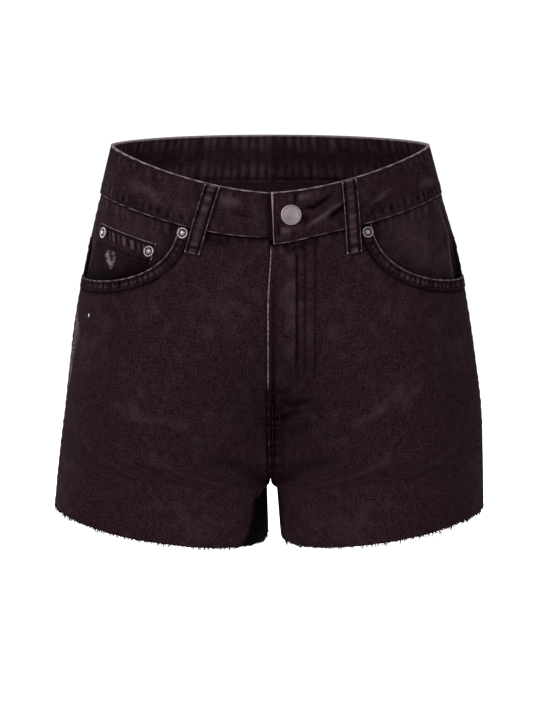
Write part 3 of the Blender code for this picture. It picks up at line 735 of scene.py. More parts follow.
def spread(top, step):  # rows from each column's top edge down to the hem
    start = rowStarts[-1]
    body = np.linspace(0, 1, round((cut["rise"] - cut["band"] - start) / step) + 1)[1:, None]
    torso = np.concatenate([top + rowStarts[:, None], top + start + (cut["rise"] - top - start) * body])
    crotch = steps(
        (cut["rise"], cut["crotch"], 1.15),
        (cut["crotch"], cut["crotch"] + 6, 0.9),
        (cut["crotch"] + 6, cut["hem"], step),
    )
    return np.concatenate([torso, crotch[1:, None] + 0 * top])


def sideSeam(relief, half, drops, fromSide, where=1.0):
    window = where * hump(fromSide - 3.0, 4.0)
    relief.pucker(window, ripple(drops, 8.5, 31 + half.side), 0.5, 0.2, 0.3)
    relief.lift += 0.35 * where * hump(fromSide - 1.6, 1.3)
    relief.edge(fromSide - 1.2, 0.35, 0.9, where=where)
    relief.wash += 0.08 * where * hump(fromSide, 14.0)
    relief.shadow(fromSide, 0.5, 0.9, where=where)


# Marks on the fronts and backs, of fading, painted shade and painted highlights: a line of (drop, mm from
# the centre), how strong, and how wide
flyMarks = (  # soft shadows under the fly's end
    (((178.5, 8), (180, 20), (177, 34)), -0.55, 3.4),
    (((191, 3), (190, 14), (184, 24)), -0.50, 3.0),
    (((200, 10), (203, 24), (198, 38)), -0.30, 3.4),
    (((181, 34), (190, 38), (198, 46)), -0.25, 2.6),
    (((168, 4), (171, 10), (169, 18)), -0.30, 3.0),
)
# light whiskers where the cloth has faded, and painted shade in creases and under the waistband
whiskersAndShade = {
    right: (
        (((203, 62), (204, 99), (201, 118), (198, 142)), 0.10, 5.0),
        (((208, 92), (206, 110), (207, 126)), 0.08, 3.0),
        (((216, 34), (218, 60), (215, 90)), -0.16, 7.0),
        (((228, 22), (236, 52), (240, 86)), -0.14, 9.0),
        (((60, 20), (84, 34), (120, 40)), 0.06, 12.0),
        (((44, 66), (46, 56), (47, 42), (45, 28)), -0.60, 3.6),
        (((50, 58), (54, 66), (62, 72)), -0.40, 3.0),
    ),
    left: (
        (((205, 60), (199, 82), (190, 96), (176, 112)), 0.11, 5.0),
        (((196, 100), (186, 116), (180, 130)), 0.08, 4.0),
        (((214, 34), (212, 62), (204, 90)), -0.16, 7.0),
        (((230, 24), (238, 54), (242, 90)), -0.14, 9.0),
        (((50, 46), (62, 50), (78, 52)), -0.22, 4.0),
        (((46, 8), (50, 16), (48, 26), (45, 40)), -0.65, 2.4),
        (((47, 78), (56, 84), (66, 84)), -0.35, 3.2),
    ),
}


frontRubs = (  # at the wearer's right hip
    (((142, 210), (152, 203), (164, 210), (182, 214)), 0.40, 9.0),
    (((143, 205), (148, 195), (155, 191), (163, 199), (172, 205)), 0.14, 2.4),
    (((186, 211), (194, 214), (200, 215)), 0.44, 3.0),
)
backRubs = ((((146, 2), (166, 6), (184, 2)), 0.38, 9.0),)


def flyRelief(relief, drops, across, inLeg):  # the left front's fly, and how far its fold laps over
    bottom = flyBottom(across)
    inFly = 1 - ramp(across, fly["width"] - 0.4, fly["width"] + 1.0)
    inFly = inFly * (1 - ramp(drops, bottom - 0.6, bottom + 0.9))
    relief.lift += fly["raise"] * inFly
    # the fly's bulk ends at a sharp fold
    bulk = inFly * ramp(across, 2.0, 16.0) * (1 - ramp(across, 19.5, 21.2)) * ramp(drops, 46, 62)
    relief.lift += 0.7 * bulk * (1 - ramp(drops, 150, 172))
    upper = 1 - ramp(drops, 118, 152)
    relief.wash += upper * bulk * ramp(across, 8.0, 15.0) * (0.06 + 0.16 * ripple(drops, 19, 51))
    fold = inFly * ramp(drops, 50, 58) * (1 - 0.8 * ramp(drops, 135, 158))
    relief.groove(across - fly["fold"], fold, 0.7, 0.95, 0.9)
    for middle, width, pitch, amount in ((24.9, 1.7, 11.0, 0.10), (32.2, 2.6, 8.2, 0.12)):
        window = inFly * hump(across - middle, width) * ramp(drops, 46, 56)
        window = window * (0.35 + 0.65 * upper)
        relief.pucker(window, 0.35 + 0.65 * ripple(drops, pitch, 52 + int(middle)), 0.5, amount, 0.3)
    bend = fly["bend"] + 4
    for row, _ in fly["rows"]:
        relief.groove(across - row, ramp(drops, 44, 50) * (drops < bend), 0.3, 0.8, 0.8)
    for row, lowest in fly["rows"]:
        curve = flyBottom(across, row, lowest)
        relief.groove(drops - curve, (across < row) * (drops > bend), 0.2, 0.3, 0.8)
    # the fold at the centre front laps over the right front, with the felled seam below it
    lap = 2.6 * ramp(drops, 46, 100) - 1.2 * ramp(drops, 186, 236) - 1.4 * ramp(drops, 236, 257)
    lap = lap * np.clip(1 - across / 6.0, 0, 1) ** 1.2
    edgeWear = 0.95 * (1 - ramp(drops, 160, 182))
    edgeWear = edgeWear + 0.55 * ramp(drops, 196, 202) * (1 - ramp(drops, 214, 226))
    relief.edge(across, 1.0, 1.05, where=edgeWear * (0.7 + 0.3 * ripple(drops, 5.0, 57)))
    relief.shadow(across - 3.4, 0.55, 1.5, where=ramp(drops, 60, 90))
    relief.lift += 0.35 * hump(across, 2.0) * inFly
    fell = 1 - ramp(across, front["crotchFell"] - 0.4, front["crotchFell"] + 1.0)
    fell = fell * ramp(drops, 176, 184) * (drops < cut["crotch"] + 2)
    relief.lift += 0.55 * fell
    relief.pucker(fell, ripple(drops, 6.5, 54), 0.4, 0.1, 0.35)
    for row in front["crotchRows"]:
        relief.groove(across - row, fell, dark=0.35)
    belowFly = ramp(drops, 178, 190) * (1 - inLeg)
    relief.shadow(across - front["crotchFell"] - 1.4, 0.35, 0.9, where=belowFly)
    relief.marks((drops, across), flyMarks)
    return lap


def frontPiece(half):
    side = half.side
    mouth = mouths[side]
    name = sideNames[side]
    pathDrops, pathTurns = mouthPath(side)
    mouthLine, _ = half.at(pathDrops, pathTurns)
    runs = runAlong(mouthLine)
    even = np.linspace(0, runs[-1], 84)
    mouthTurns = np.interp(even, runs, pathTurns)
    mouthTops = np.interp(even, runs, pathDrops)
    mouthTurns[-1] = 1 - cut["gap"] / 2 / half.frontLength(cut["band"] + mouth["depth"])
    flyEnd = front["flyEnd"]
    flyMm = steps((0, 1.5, 0.5), (1.5, flyEnd, 0.78))
    bandLength = half.frontLength(cut["band"])
    startMm = mouth["start"] * bandLength
    joinMm = steps((flyEnd, startMm - 13, 1.75), (startMm - 13, startMm, 0.75))[1:-1]
    joinShare = (joinMm - flyEnd) / (startMm - flyEnd)
    topTurns = np.concatenate([flyMm / bandLength, joinMm / bandLength, mouthTurns])
    tops = bandSeam(side, topTurns * bandLength) + cut["gap"]
    tops[-len(mouthTops):] = cut["gap"] + mouthTops
    drops = spread(tops[None, :], 1.75)
    length = half.frontLength(drops[:, :1])
    flyTurns = flyMm[None, :] / length
    edge = flyTurns[:, -1:]
    joinTurns = edge + (mouth["start"] - edge) * joinShare[None, :]
    besideMouth = np.broadcast_to(mouthTurns, (len(drops), len(mouthTurns)))
    turns = np.concatenate([flyTurns, joinTurns, besideMouth], axis=1)
    legs = drops[:, 0] >= cut["crotch"] - 1
    turns[:, 0] = np.where(legs, cut["gap"] / 2 / length[:, 0], 0)
    points, normals = half.at(drops, turns)
    across = turns * half.frontLength(drops)
    relief = Relief(drops)
    # the mouth's hem, with its puckers
    away, run = farFrom(points, mouthLine, 16)
    hem = 1 - ramp(away, front["mouthHem"], front["mouthHem"] + front["mouthEdge"])
    relief.lift += front["mouthRaise"] * hem
    window = ramp(away, 1.8, 3.2) * (1 - ramp(away, 6.2, 8.2))
    toSide = ramp(run, 25, 70)
    relief.pucker(window * (0.45 + 0.55 * toSide), ripple(run, 4.6, 11 + side), 0.8, 0.66, 1.0)
    relief.groove(away - front["mouthRows"][0] - 0.8, dark=0.7, width=0.9)
    relief.groove(away - front["mouthRows"][1], dark=0.6)
    relief.edge(away, 0.72, 1.3, where=0.7 + 0.4 * ripple(run, 9.0, 15 + side))
    relief.shadow(away - front["mouthHem"] - 1.6, 0.9, 1.5, where=away > 8.4)
    relief.edge(away - 13.0, 0.16, 1.6)
    # under the waistband
    fromBand = drops - (bandSeam(side, across) + cut["gap"])
    inBody = turns < mouth["start"]
    window = inBody * hump(fromBand - 4.0, 5.0)
    relief.pucker(window, ripple(across + 7 * side + 20, 8.5, 21 + side), 0.35, 0.15, 0.2)
    relief.shadow(fromBand, 1.0, 1.5, where=inBody)
    relief.shadow(fromBand - 2.0, 0.4, 2.5, where=inBody)
    # side seam
    fromSide = (1 - turns) * half.frontLength(drops)
    below = ramp(drops, cut["band"] + mouth["depth"] + 4, cut["band"] + mouth["depth"] + 12)
    sideSeam(relief, half, drops, fromSide, below)
    # inseam
    inLeg = ramp(drops, cut["crotch"] - 8, cut["crotch"] + 2)
    window = inLeg * hump(across - 3.5, 4.0)
    relief.pucker(window, ripple(drops, 7.0, 41 + side), 0.3, 0.2, 0.2)
    if side == left:
        lap = flyRelief(relief, drops, across, inLeg)
    else:
        lap = 0 * drops
        relief.lift -= 0.25 * (1 - inLeg) * hump(across, 2.5)
        relief.shadow(across, 0.75, 1.2, where=1 - inLeg)
        relief.shadow(across - 2.6, 0.6, 1.2, where=ramp(drops, 80, 100))
    relief.marks((drops, across), whiskersAndShade[side])
    # painted shade round the fly's end, and where the cloth turns in to the crotch
    relief.shade += 0.5 * np.exp(-(((drops - 188) / 50.0) ** 2) - (across / 42.0) ** 2)
    if side == right:
        turned = np.interp(drops, (236, 243, 252, 262, 269, 286, 308), (1, 6, 38, 80, 101, 97, 95))
        relief.shade += 1.2 * ramp(drops, 232, 242) * (1 - ramp(across, turned - 6, turned + 3))
        relief.rubs((drops, across), frontRubs)
    outer = points + normals * relief.lift[..., None]
    inner = points - normals * front["wall"]
    if side == left:
        onTop = ramp(lap, 0.02, 0.4) * (1 - ramp(across - lap, 0.2, 2.0))
        outer[..., 0] -= lap
        outer += normals * (0.75 * onTop)[..., None]
        inner[..., 0] -= lap
        inner += normals * ((front["wall"] + 0.2) * onTop)[..., None]
    uv = np.stack([across - lap, -drops], axis=-1)
    masks = relief.masks(wornInner=0.5 * hump(away, 1.0))
    obj = clothPiece("front_" + name + "_cloth", outer, inner, uv, masks)
    finished(obj, ["front_" + name], "denimFront" if side == right else "denim")
    return obj


fronts = {side: frontPiece(halves[side]) for side in (left, right)}
print("fronts ready:", [len(o.data.polygons) for o in fronts.values()])

back = {"yokeSide": 38.0, "yokeCentre": 68.0, "wall": 1.5, "rows": (1.9, 7.4), "pocketTurn": 1.49}


def yokeDrop(turn):
    return cut["band"] + back["yokeSide"] + (back["yokeCentre"] - back["yokeSide"]) * (turn - 1)


def backTurns(half, drops, step):
    length = half.backLength(drops)
    middle = half.backLength(cut["band"] + 90)
    near = steps(
        (0, 1.2, 0.6),
        (1.2, 10, 1.1),
        (10, middle - 12, step),
        (middle - 12, middle - 1, 0.9),
        (middle - 1, middle, 0.5),
    )
    turns = 1 + near[None, :] / middle + 0 * drops
    turns[:, 0] += cut["gap"] / 2 / length[:, 0]
    turns[:, -1] -= np.where(drops[:, 0] >= cut["crotch"] - 1, cut["gap"] / 2 / length[:, 0], 0)
    return turns


# painted shade in the folds under the seat, with painted highlights beside them
seatFoldShadeAndHighlights = {
    left: (
        (((228, 28), (238, 66), (236, 116)), -0.30, 6.0),
        (((219, 40), (226, 80), (226, 120)), 0.12, 5.0),
    ),
    right: (
        (((226, 34), (235, 74), (231, 128)), -0.30, 6.0),
        (((216, 30), (222, 66), (218, 110)), 0.12, 5.0),
    ),
}


def seatSeam(relief, half, drops, fromCentre, where):  # felled to the left
    if half.side == left:
        relief.lift = np.maximum(relief.lift, 0.55 * where * (1 - ramp(fromCentre, 8.8, 10.2)))
        window = where * hump(fromCentre - 4.6, 2.2)
        relief.pucker(window, ripple(drops, 6.6, 63), 0.55, 0.5, 0.5)
        for row in back["rows"]:
            relief.groove(fromCentre - row, where)
        relief.edge(fromCentre, 0.8, 1.1, where=where)
        relief.shadow(fromCentre - 11.0, 0.5, 1.1, where=where)
    else:
        relief.lift -= 0.25 * where * hump(fromCentre, 2.5)
        relief.shadow(fromCentre, 0.7, 1.2, where=where)


def backPiece(half):
    side = half.side
    name = sideNames[side]
    drops = spread(np.array([[cut["band"]]]), 2.0)
    turns = backTurns(half, drops, 2.3)
    top = yokeDrop(turns[:1]) + cut["gap"]
    # the rows near the yoke follow its edge, and the rest spread out down to the rise
    fromFirst = drops - drops[0]
    near = np.minimum(fromFirst, 12)
    share = (fromFirst - near) / (cut["rise"] - drops[0] - 12)
    upper = top + near + (cut["rise"] - top - 12) * share
    drops = np.where(drops < cut["rise"], upper, drops + 0 * top)
    points, normals = half.at(drops, turns)
    length = half.backLength(drops)
    fromSide = (turns - 1) * length
    fromCentre = (2 - turns) * length
    fromYoke = drops - top
    torso = 1 - ramp(drops, cut["crotch"] - 8, cut["crotch"] + 2)
    relief = Relief(drops)
    crest = ripple(fromSide + 9, 6.2, 61 + side)
    relief.lift += 0.5 * (1 - ramp(fromYoke, 8.8, 10.2))
    relief.pucker(hump(fromYoke - 4.6, 2.2), crest, 0.6, 0.55, 0.5)
    relief.edge(fromYoke, 0.8, 1.1)
    relief.shadow(fromYoke - 11.0, 0.6, 1.2)
    for row in back["rows"]:
        relief.groove(fromYoke - row)
    seat = torso * (fromYoke > 0)
    seatSeam(relief, half, drops, fromCentre, seat)
    sideSeam(relief, half, drops, fromSide)
    window = (1 - torso) * hump(fromCentre - 3.5, 4.0)
    relief.pucker(window, ripple(drops, 7.0, 41 + side), 0.3, 0.2, 0.2)
    # the seat is rubbed a little, and the folds under it get painted shade and painted highlights
    relief.wash += 0.10 * np.exp(-((drops - 160) ** 2 / 60**2 + (fromCentre - 95) ** 2 / 85**2))
    relief.marks((drops, fromCentre), seatFoldShadeAndHighlights[side])
    if side == right:
        relief.rubs((drops, fromSide), backRubs)
    outer = points + normals * relief.lift[..., None]
    inner = points - normals * back["wall"]
    uv = np.stack([fromSide + patternAt["back"], -drops], axis=-1)
    obj = clothPiece("back_" + name + "_cloth", outer, inner, uv, relief.masks())
    finished(obj, ["back_" + name], "denim")
    return obj


def yokePiece(half):
    side = half.side
    name = sideNames[side]
    places = steps((0, 1.2, 0.4), (1.2, 8, 1.0), (8, 44, 1.9), (44, 50, 0.9))
    share = (places / places[-1])[:, None]
    turns = backTurns(half, cut["band"] + 50 * share, 1.9)
    top = cut["band"] + cut["gap"]
    drops = top + (yokeDrop(turns) - top) * share
    points, normals = half.at(drops, turns)
    length = half.backLength(drops)
    fromSide = (turns - 1) * length
    fromCentre = (2 - turns) * length
    fromBand = drops - top
    fromYoke = yokeDrop(turns) - drops
    relief = Relief(drops)
    relief.pucker(hump(fromBand - 4.0, 5.0), ripple(fromSide + 5, 7.5, 71 + side), 0.5, 0.35, 0.3)
    relief.shadow(fromBand, 1.0, 1.3)
    relief.edge(fromBand - 2.2, 0.25, 1.0)
    relief.lift -= 0.25 * hump(fromYoke, 2.5)
    relief.shadow(fromYoke, 0.75, 1.1)
    seatSeam(relief, half, drops, fromCentre, 1.0)
    sideSeam(relief, half, drops, fromSide)
    outer = points + normals * relief.lift[..., None]
    inner = points - normals * back["wall"]
    uv = np.stack([fromSide + patternAt["yoke"], -drops], axis=-1)
    obj = clothPiece("yoke_" + name + "_cloth", outer, inner, uv, relief.masks())
    finished(obj, ["yoke_" + name], "denim")
    return obj


backs = {side: backPiece(halves[side]) for side in (left, right)}
yokes = {side: yokePiece(halves[side]) for side in (left, right)}
print("backs ready:", [len(o.data.polygons) for o in (*backs.values(), *yokes.values())])

band = {
    "outer": 1.2,
    "inner": -1.5,
    "lap": 38.0,
    "lapDepth": 3.0,
    "lapRun": 13.0,
    "endTop": 0.4,
    "endBottom": 2.9,
    "hole": (9.5, 23.5),
    "holeDrops": (18.2, 22.8),
    "rowsFromEdge": 2.3,
    "cloth": 44.3,  # the height of the cloth's grid, which each column is scaled from
    "evenEnd": (60.5, 41.0),  # mm from the centre where 1 mm columns end, on the left and on the right
}


# painted shade in creases and painted highlights on the waistband
bandShadeAndHighlights = {
    left: (
        (((17, 59), (21, 48), (26, 41), (32, 28)), 0.50, 1.3),
        (((19.5, 63), (24, 53), (29, 45)), -1.2, 2.1),
        (((9, 50), (12.5, 42), (16.5, 34), (16, 25)), -1.2, 2.1),
        (((20, 27), (30, 27)), -0.9, 2.2),
        (((1, 20), (12, 19.5)), -0.9, 2.0),
        (((6, 24), (8, 32)), 0.22, 3.0),
        (((18, 102), (22, 91), (26, 79)), 0.22, 1.8),
        (((21, 104), (26, 92), (31, 80)), -0.35, 2.4),
        (((6, 12), (7, 24), (5, 40)), 0.16, 3.0),
        (((33, 7), (34, 16)), 0.36, 2.8),
        (((25, 5.5), (39, 6.5)), -0.9, 1.2),
        (((18, 36), (20, 50), (19, 62)), -0.22, 12.0),
        (((8, 140), (16, 150), (26, 152)), -0.28, 3.2),
        (((26, 128), (24, 140), (28, 160)), 0.16, 3.0),
        (((14, 78), (20, 84), (34, 86)), -0.30, 3.4),
    ),
    right: (
        (((20, 2), (22, 18), (19, 38)), -0.40, 2.6),
        (((29, 2), (27, 14), (30, 26)), -0.30, 2.6),
        (((10, 22), (12, 32), (11, 42)), 0.26, 4.0),
        (((12, 6), (24, 9), (36, 7)), -0.25, 2.4),
        (((24, 88), (20, 104), (22, 124)), 0.16, 5.0),
        (((12, 70), (16, 90), (13, 110)), -0.16, 4.0),
        (((10, 132), (18, 140), (30, 142)), -0.22, 3.0),
    ),
}


def waistbandPiece():
    holeTop, holeBottom = band["holeDrops"]
    heights = steps(
        (0, 1.2, 0.4),
        (1.2, 4, 0.9),
        (4, holeTop, 1.42),
        (holeTop, holeBottom, 1.53),
        (holeBottom, 40, 1.43),
        (40, 43.1, 0.9),
        (43.1, band["cloth"], 0.4),
    )
    share = heights / band["cloth"]
    # columns of (half, mm from the centre or turn, how deep the lap lies)
    leftEven, rightEven = band["evenEnd"]
    leftTurns = np.linspace(leftEven / halves[left].frontLength(0), 2.0, 236)[:-1]
    rightTurns = np.linspace(2.0, rightEven / halves[right].frontLength(0), 250)[:-1]
    evenColumns = steps((0, 0.5, 0.5), (0.5, leftEven, 1.0))[:-1]
    columns = [(left, s, 0.0) for s in evenColumns]
    columns += [(left, ("turn", t), 0.0) for t in leftTurns]
    columns += [(right, ("turn", t), 0.0) for t in rightTurns]
    for s in steps((rightEven, 0, 1.0)):
        columns.append((right, s, band["lapDepth"] * float(ramp(-s, -band["lapRun"], -1))))
    columns += [(left, s, band["lapDepth"]) for s in steps((1.0, band["lap"], 1.2))]
    shape = (len(share), len(columns))
    points, normals = np.empty((*shape, 3)), np.empty((*shape, 3))
    drops, turns = np.empty(shape), np.empty(shape)
    for j, (side, place, _) in enumerate(columns):
        half = halves[side]
        length = half.frontLength(0)
        turn = place[1] if isinstance(place, tuple) else place / length
        seam = bandSeam(side, min(turn, 1) * length)
        column = np.full(len(share), turn)
        if j < 3:  # the end is cut at a slant
            slant = band["endTop"] + (band["endBottom"] - band["endTop"]) * share
            column = (column * length + slant * (1 - j / 3)) / length
        points[:, j], normals[:, j] = half.at(seam * share, column)
        drops[:, j], turns[:, j] = seam * share, column
    sink = np.array([column[2] for column in columns])[None, :]
    run = runAlong(points[0])[None, :] + 0 * drops
    fromTop = drops
    fromBottom = drops[-1:] - drops
    fromEnd = run - run[:, :1]
    onTop = 1 - ramp(sink, 0.5, 2.6)
    uneven = 0.45 + 0.55 * ripple(run, 34.0, 80)
    relief = Relief(drops)
    fromFront = turns * halves[left].frontLength(0)
    calm = 0.3 + 0.7 * ramp(fromFront, 50, 66)  # the band is smooth by the button
    topCrest = ripple(run, 8.0, 81)
    lowCrest = ripple(run, 7.2, 82)
    relief.pucker(onTop * uneven * hump(fromTop - 6.0, 3.6), topCrest, 0.45, 0.22, 0.35)
    lower = onTop * calm * (0.4 + 0.6 * uneven) * hump(fromBottom - 6.5, 3.2)
    relief.pucker(lower, lowCrest, 0.8, 0.22, 1.0)
    row = band["rowsFromEdge"]
    for away in (fromTop, fromBottom, fromEnd):
        relief.groove(away - row, onTop, 0.25, 0.3, 0.8)
    wear = 0.7 + 0.5 * ripple(run, 13.0, 83)
    relief.edge(fromTop, 0.9, 1.4, where=wear)
    relief.edge(fromBottom, 0.68, 0.9, where=onTop * wear)
    relief.edge(fromEnd, 1.1, 2.1)
    relief.shadow(fromEnd - 2.7, 0.55, 0.8)
    relief.shade += 0.6 * ramp(sink, 2.4, 3.0)
    # painted shade and highlights by the button, the loops and the sides
    for side in (left, right):
        here = np.array([place == side and below == 0 for place, _, below in columns])[None, :]
        aside = Relief(drops)
        aside.marks((drops, fromFront), bandShadeAndHighlights[side])
        relief.wash += aside.wash * here
        relief.shade += aside.shade * here
    innerBack = ramp(turns, 0.5, 0.75)
    onLeft = np.array([place == left for place, _, _ in columns])[None, :]
    tips = hump(fromTop - 5.0, 6.0) * topCrest + hump(fromBottom - 9.0, 6.5) * lowCrest
    innerLift = 0.6 * innerBack * (tips - 0.3)
    outer = points + normals * (band["outer"] - sink + relief.lift)[..., None]
    inner = points + normals * (band["inner"] - sink - innerLift)[..., None]
    uv = np.stack([drops + patternAt["waistband"], run], axis=-1)
    # painted shade inside the band: under its lower edge, between the puckers at the back, and over the
    # left half
    underside = 0.5 * hump(fromBottom - 3.4, 1.3) + 0.12 * innerBack * (1 - topCrest) ** 2
    masks = relief.masks(
        insideInner=0.0,
        wornInner=hump(fromTop, 1.3) + 0.4 * hump(fromBottom - 1.0, 0.8),
        washInner=0.36 * tips,
        shadeInner=underside + 0.2 * onLeft,
    )
    rowsAt = [int(np.abs(heights - d).argmin()) for d in band["holeDrops"]]
    columnsAt = [int(np.abs(evenColumns - s).argmin()) for s in band["hole"]]
    obj = clothPiece("waistband_cloth", outer, inner, uv, masks, hole=(rowsAt, columnsAt), bevel=0.6)
    finished(obj, ["waistband"], "denimLight")
    return obj


waistband = waistbandPiece()
print("waistband ready:", len(waistband.data.polygons))

facing = {
    "sink": 3.4,
    "from": 0.35,
    "to": 0.78,
    "topShare": 0.55,
    "topRun": 12.0,
    "wall": 1.0,
    "drops": (40.3, 128.0),
    "turns": (0.34, 1.0),
    "slant": 0.12,
}
coin = {"outer": 1.3, "inner": 0.3, "turns": (0.478, 0.80), "drops": (60.5, 118.0), "rows": (1.7, 15.4)}


def facingSink(side, drops, turns):
    below = ramp(drops, cut["band"], cut["band"] + facing["topRun"])
    share = facing["topShare"] + (1 - facing["topShare"]) * below
    return facing["sink"] * share * ramp(mouthMeasure(side, drops, turns), facing["from"], facing["to"])


def slanted(drops, turns):  # the facing's columns lean as the coin pocket's outer edge does
    top, bottom = coin["drops"]
    down = np.clip((drops - top) / (bottom - top), 0, 1)
    leaning = np.interp(turns, (facing["turns"][0], coin["turns"][1], 1), (0, 1, 0))
    return turns + facing["slant"] * down * leaning


def facingAt(half, drops, turns):
    points, normals = half.at(drops, turns)
    return points, normals, facingSink(half.side, drops, turns)


def facingPiece(half):
    side = half.side
    name = sideNames[side]
    drops = steps((facing["drops"][0], facing["drops"][1], 1.5))[:, None]
    turns = steps((facing["turns"][0], facing["turns"][1], 0.0075))[None, :] + 0 * drops
    turns[:, -1] -= cut["gap"] / 2 / half.frontLength(cut["band"])
    turns = slanted(drops, turns)
    points, normals, sink = facingAt(half, drops, turns)
    across = turns * half.frontLength(drops)
    drops = drops + 0 * turns
    relief = Relief(drops)
    relief.wash += 0.05
    fromBand = drops - cut["band"]
    relief.pucker(hump(fromBand - 5.0, 4.0), ripple(across, 8, 91 + side), 0.4, 0.22, 0.25)
    relief.shadow(fromBand, 1.0, 1.5)
    relief.edge(fromBand - 2.6, 0.22, 1.1)
    inMouth = mouthMeasure(side, drops, turns)
    relief.shade += 0.55 * ramp(inMouth, 0.80, 1.0)
    if side == left:  # a soft ridge with a painted highlight and painted shade beside it, and a hollow beside the side seam with painted shade in it
        ridge = np.interp(drops, (40, 58, 71, 87, 103), (0.848, 0.838, 0.862, 0.85, 0.825))
        relief.lift += 0.7 * hump(turns - ridge, 0.018) * ramp(drops, 44, 60)
        relief.wash += 0.32 * hump(turns - ridge, 0.009) * ramp(drops, 42, 55)
        relief.shade += 0.45 * hump(turns - ridge - 0.024, 0.013) * ramp(drops, 42, 55)
        hollow = ramp(turns, 0.865, 0.915) * (1 - ramp(turns, 0.955, 0.995)) * ramp(drops, 64, 84)
        sink = sink + 5.0 * hollow
        dark = 0.75 * ramp(turns, 0.868, 0.9) * (1 - 0.75 * ramp(turns, 0.945, 0.98))
        relief.shade += dark * ramp(drops, 62, 84)
        relief.shade += 0.25 * ramp(turns, 0.845, 0.87) * ramp(drops, 46, 60)
    outer = points + normals * (relief.lift - sink)[..., None]
    inner = points - normals * (sink + facing["wall"])[..., None]
    uv = np.stack([across + patternAt["facing"], -drops], axis=-1)
    obj = clothPiece("pocket_facing_" + name + "_cloth", outer, inner, uv, relief.masks(), bevel=0.25)
    finished(obj, ["pocket_facing_" + name], "denimLight" if side == left else "denim")


coinRubs = (  # a place that is worn through to its white threads
    (((83.5, 154.5), (85.5, 152.5), (87.5, 149.5)), 0.92, 2.9),
    (((79.5, 151.0), (82.5, 153.5)), 0.56, 1.5),
    (((79.5, 145.0), (83.0, 143.0), (86.5, 145.0)), 0.72, 1.8),
    (((79.0, 149.0), (79.5, 146.5)), 0.34, 1.0),
    (((87.0, 149.5), (90.0, 147.0)), 0.84, 2.2),
)
coinHollow = (85.5, 148.0)  # where painted shade stands for a hole in the middle of it: drop, and mm from the centre


def coinPiece():
    half = halves[right]
    top, bottom = coin["drops"]
    drops = steps((top, top + 1.2, 0.4), (top + 1.2, top + 15, 0.85), (top + 15, bottom, 1.6))[:, None]
    start, end = coin["turns"]
    turns = steps((start, start + 0.012, 0.003), (start + 0.012, end, 0.0052))[None, :] + 0 * drops
    drops = drops + 0 * turns
    turns = slanted(drops, turns)
    points, normals, sink = facingAt(half, drops, turns)
    across = turns * half.frontLength(drops)
    fromTop = drops - top
    fromEdge = across - across[:, :1]
    relief = Relief(drops)
    crest = ripple(across + 0.18 * drops, 6.8, 95)
    relief.pucker(ramp(fromTop, 2.4, 4.2) * (1 - ramp(fromTop, 8.6, 11.0)), crest, 0.9, 0.85, 0.8)
    relief.shade += 0.4 * ramp(fromTop, 15, 19)
    relief.edge(fromTop - 13.2, 0.36, 0.9)
    for row in coin["rows"]:
        relief.groove(fromTop - row, dark=0.8, width=1.0)
    relief.edge(fromTop, 0.7, 1.2)
    relief.edge(fromEdge, 0.6, 0.9)
    relief.groove(fromEdge - 2.6, dark=0.6)
    relief.edge(across[:, -1:] - across, 0.4, 0.8)
    relief.shade += 0.5 * ramp(mouthMeasure(right, drops, turns), 0.80, 1.0)
    relief.rubs((drops, across), coinRubs)
    relief.shadow(np.hypot(drops - coinHollow[0], across - coinHollow[1]), 0.9, 1.2)
    outer = points + normals * (coin["outer"] - sink + relief.lift)[..., None]
    inner = points + normals * (coin["inner"] - sink)[..., None]
    uv = np.stack([across + patternAt["coin"], -drops], axis=-1)
    obj = clothPiece("coin_pocket_cloth", outer, inner, uv, relief.masks(), bevel=0.25)
    finished(obj, ["coin_pocket"], "denim")
    return obj


for side in (left, right):
    facingPiece(halves[side])
coinPocket = coinPiece()

patch = {
    "outer": 2.1,
    "inner": 0.8,
    "top": 112.0,
    "halfTop": 61.0,
    "halfBottom": 52.0,
    "side": 104.0,
    "point": 20.0,
    "rows": (1.8, 7.4),
    "hem": 13.0,
}


def patchPlace(half, across, down):
    halfWidth = patch["halfTop"] + (patch["halfBottom"] - patch["halfTop"]) * down
    drops = patch["top"] + down * (patch["side"] + patch["point"] * (1 - np.abs(across)))
    return drops, back["pocketTurn"] + across * halfWidth / half.backLength(drops), halfWidth


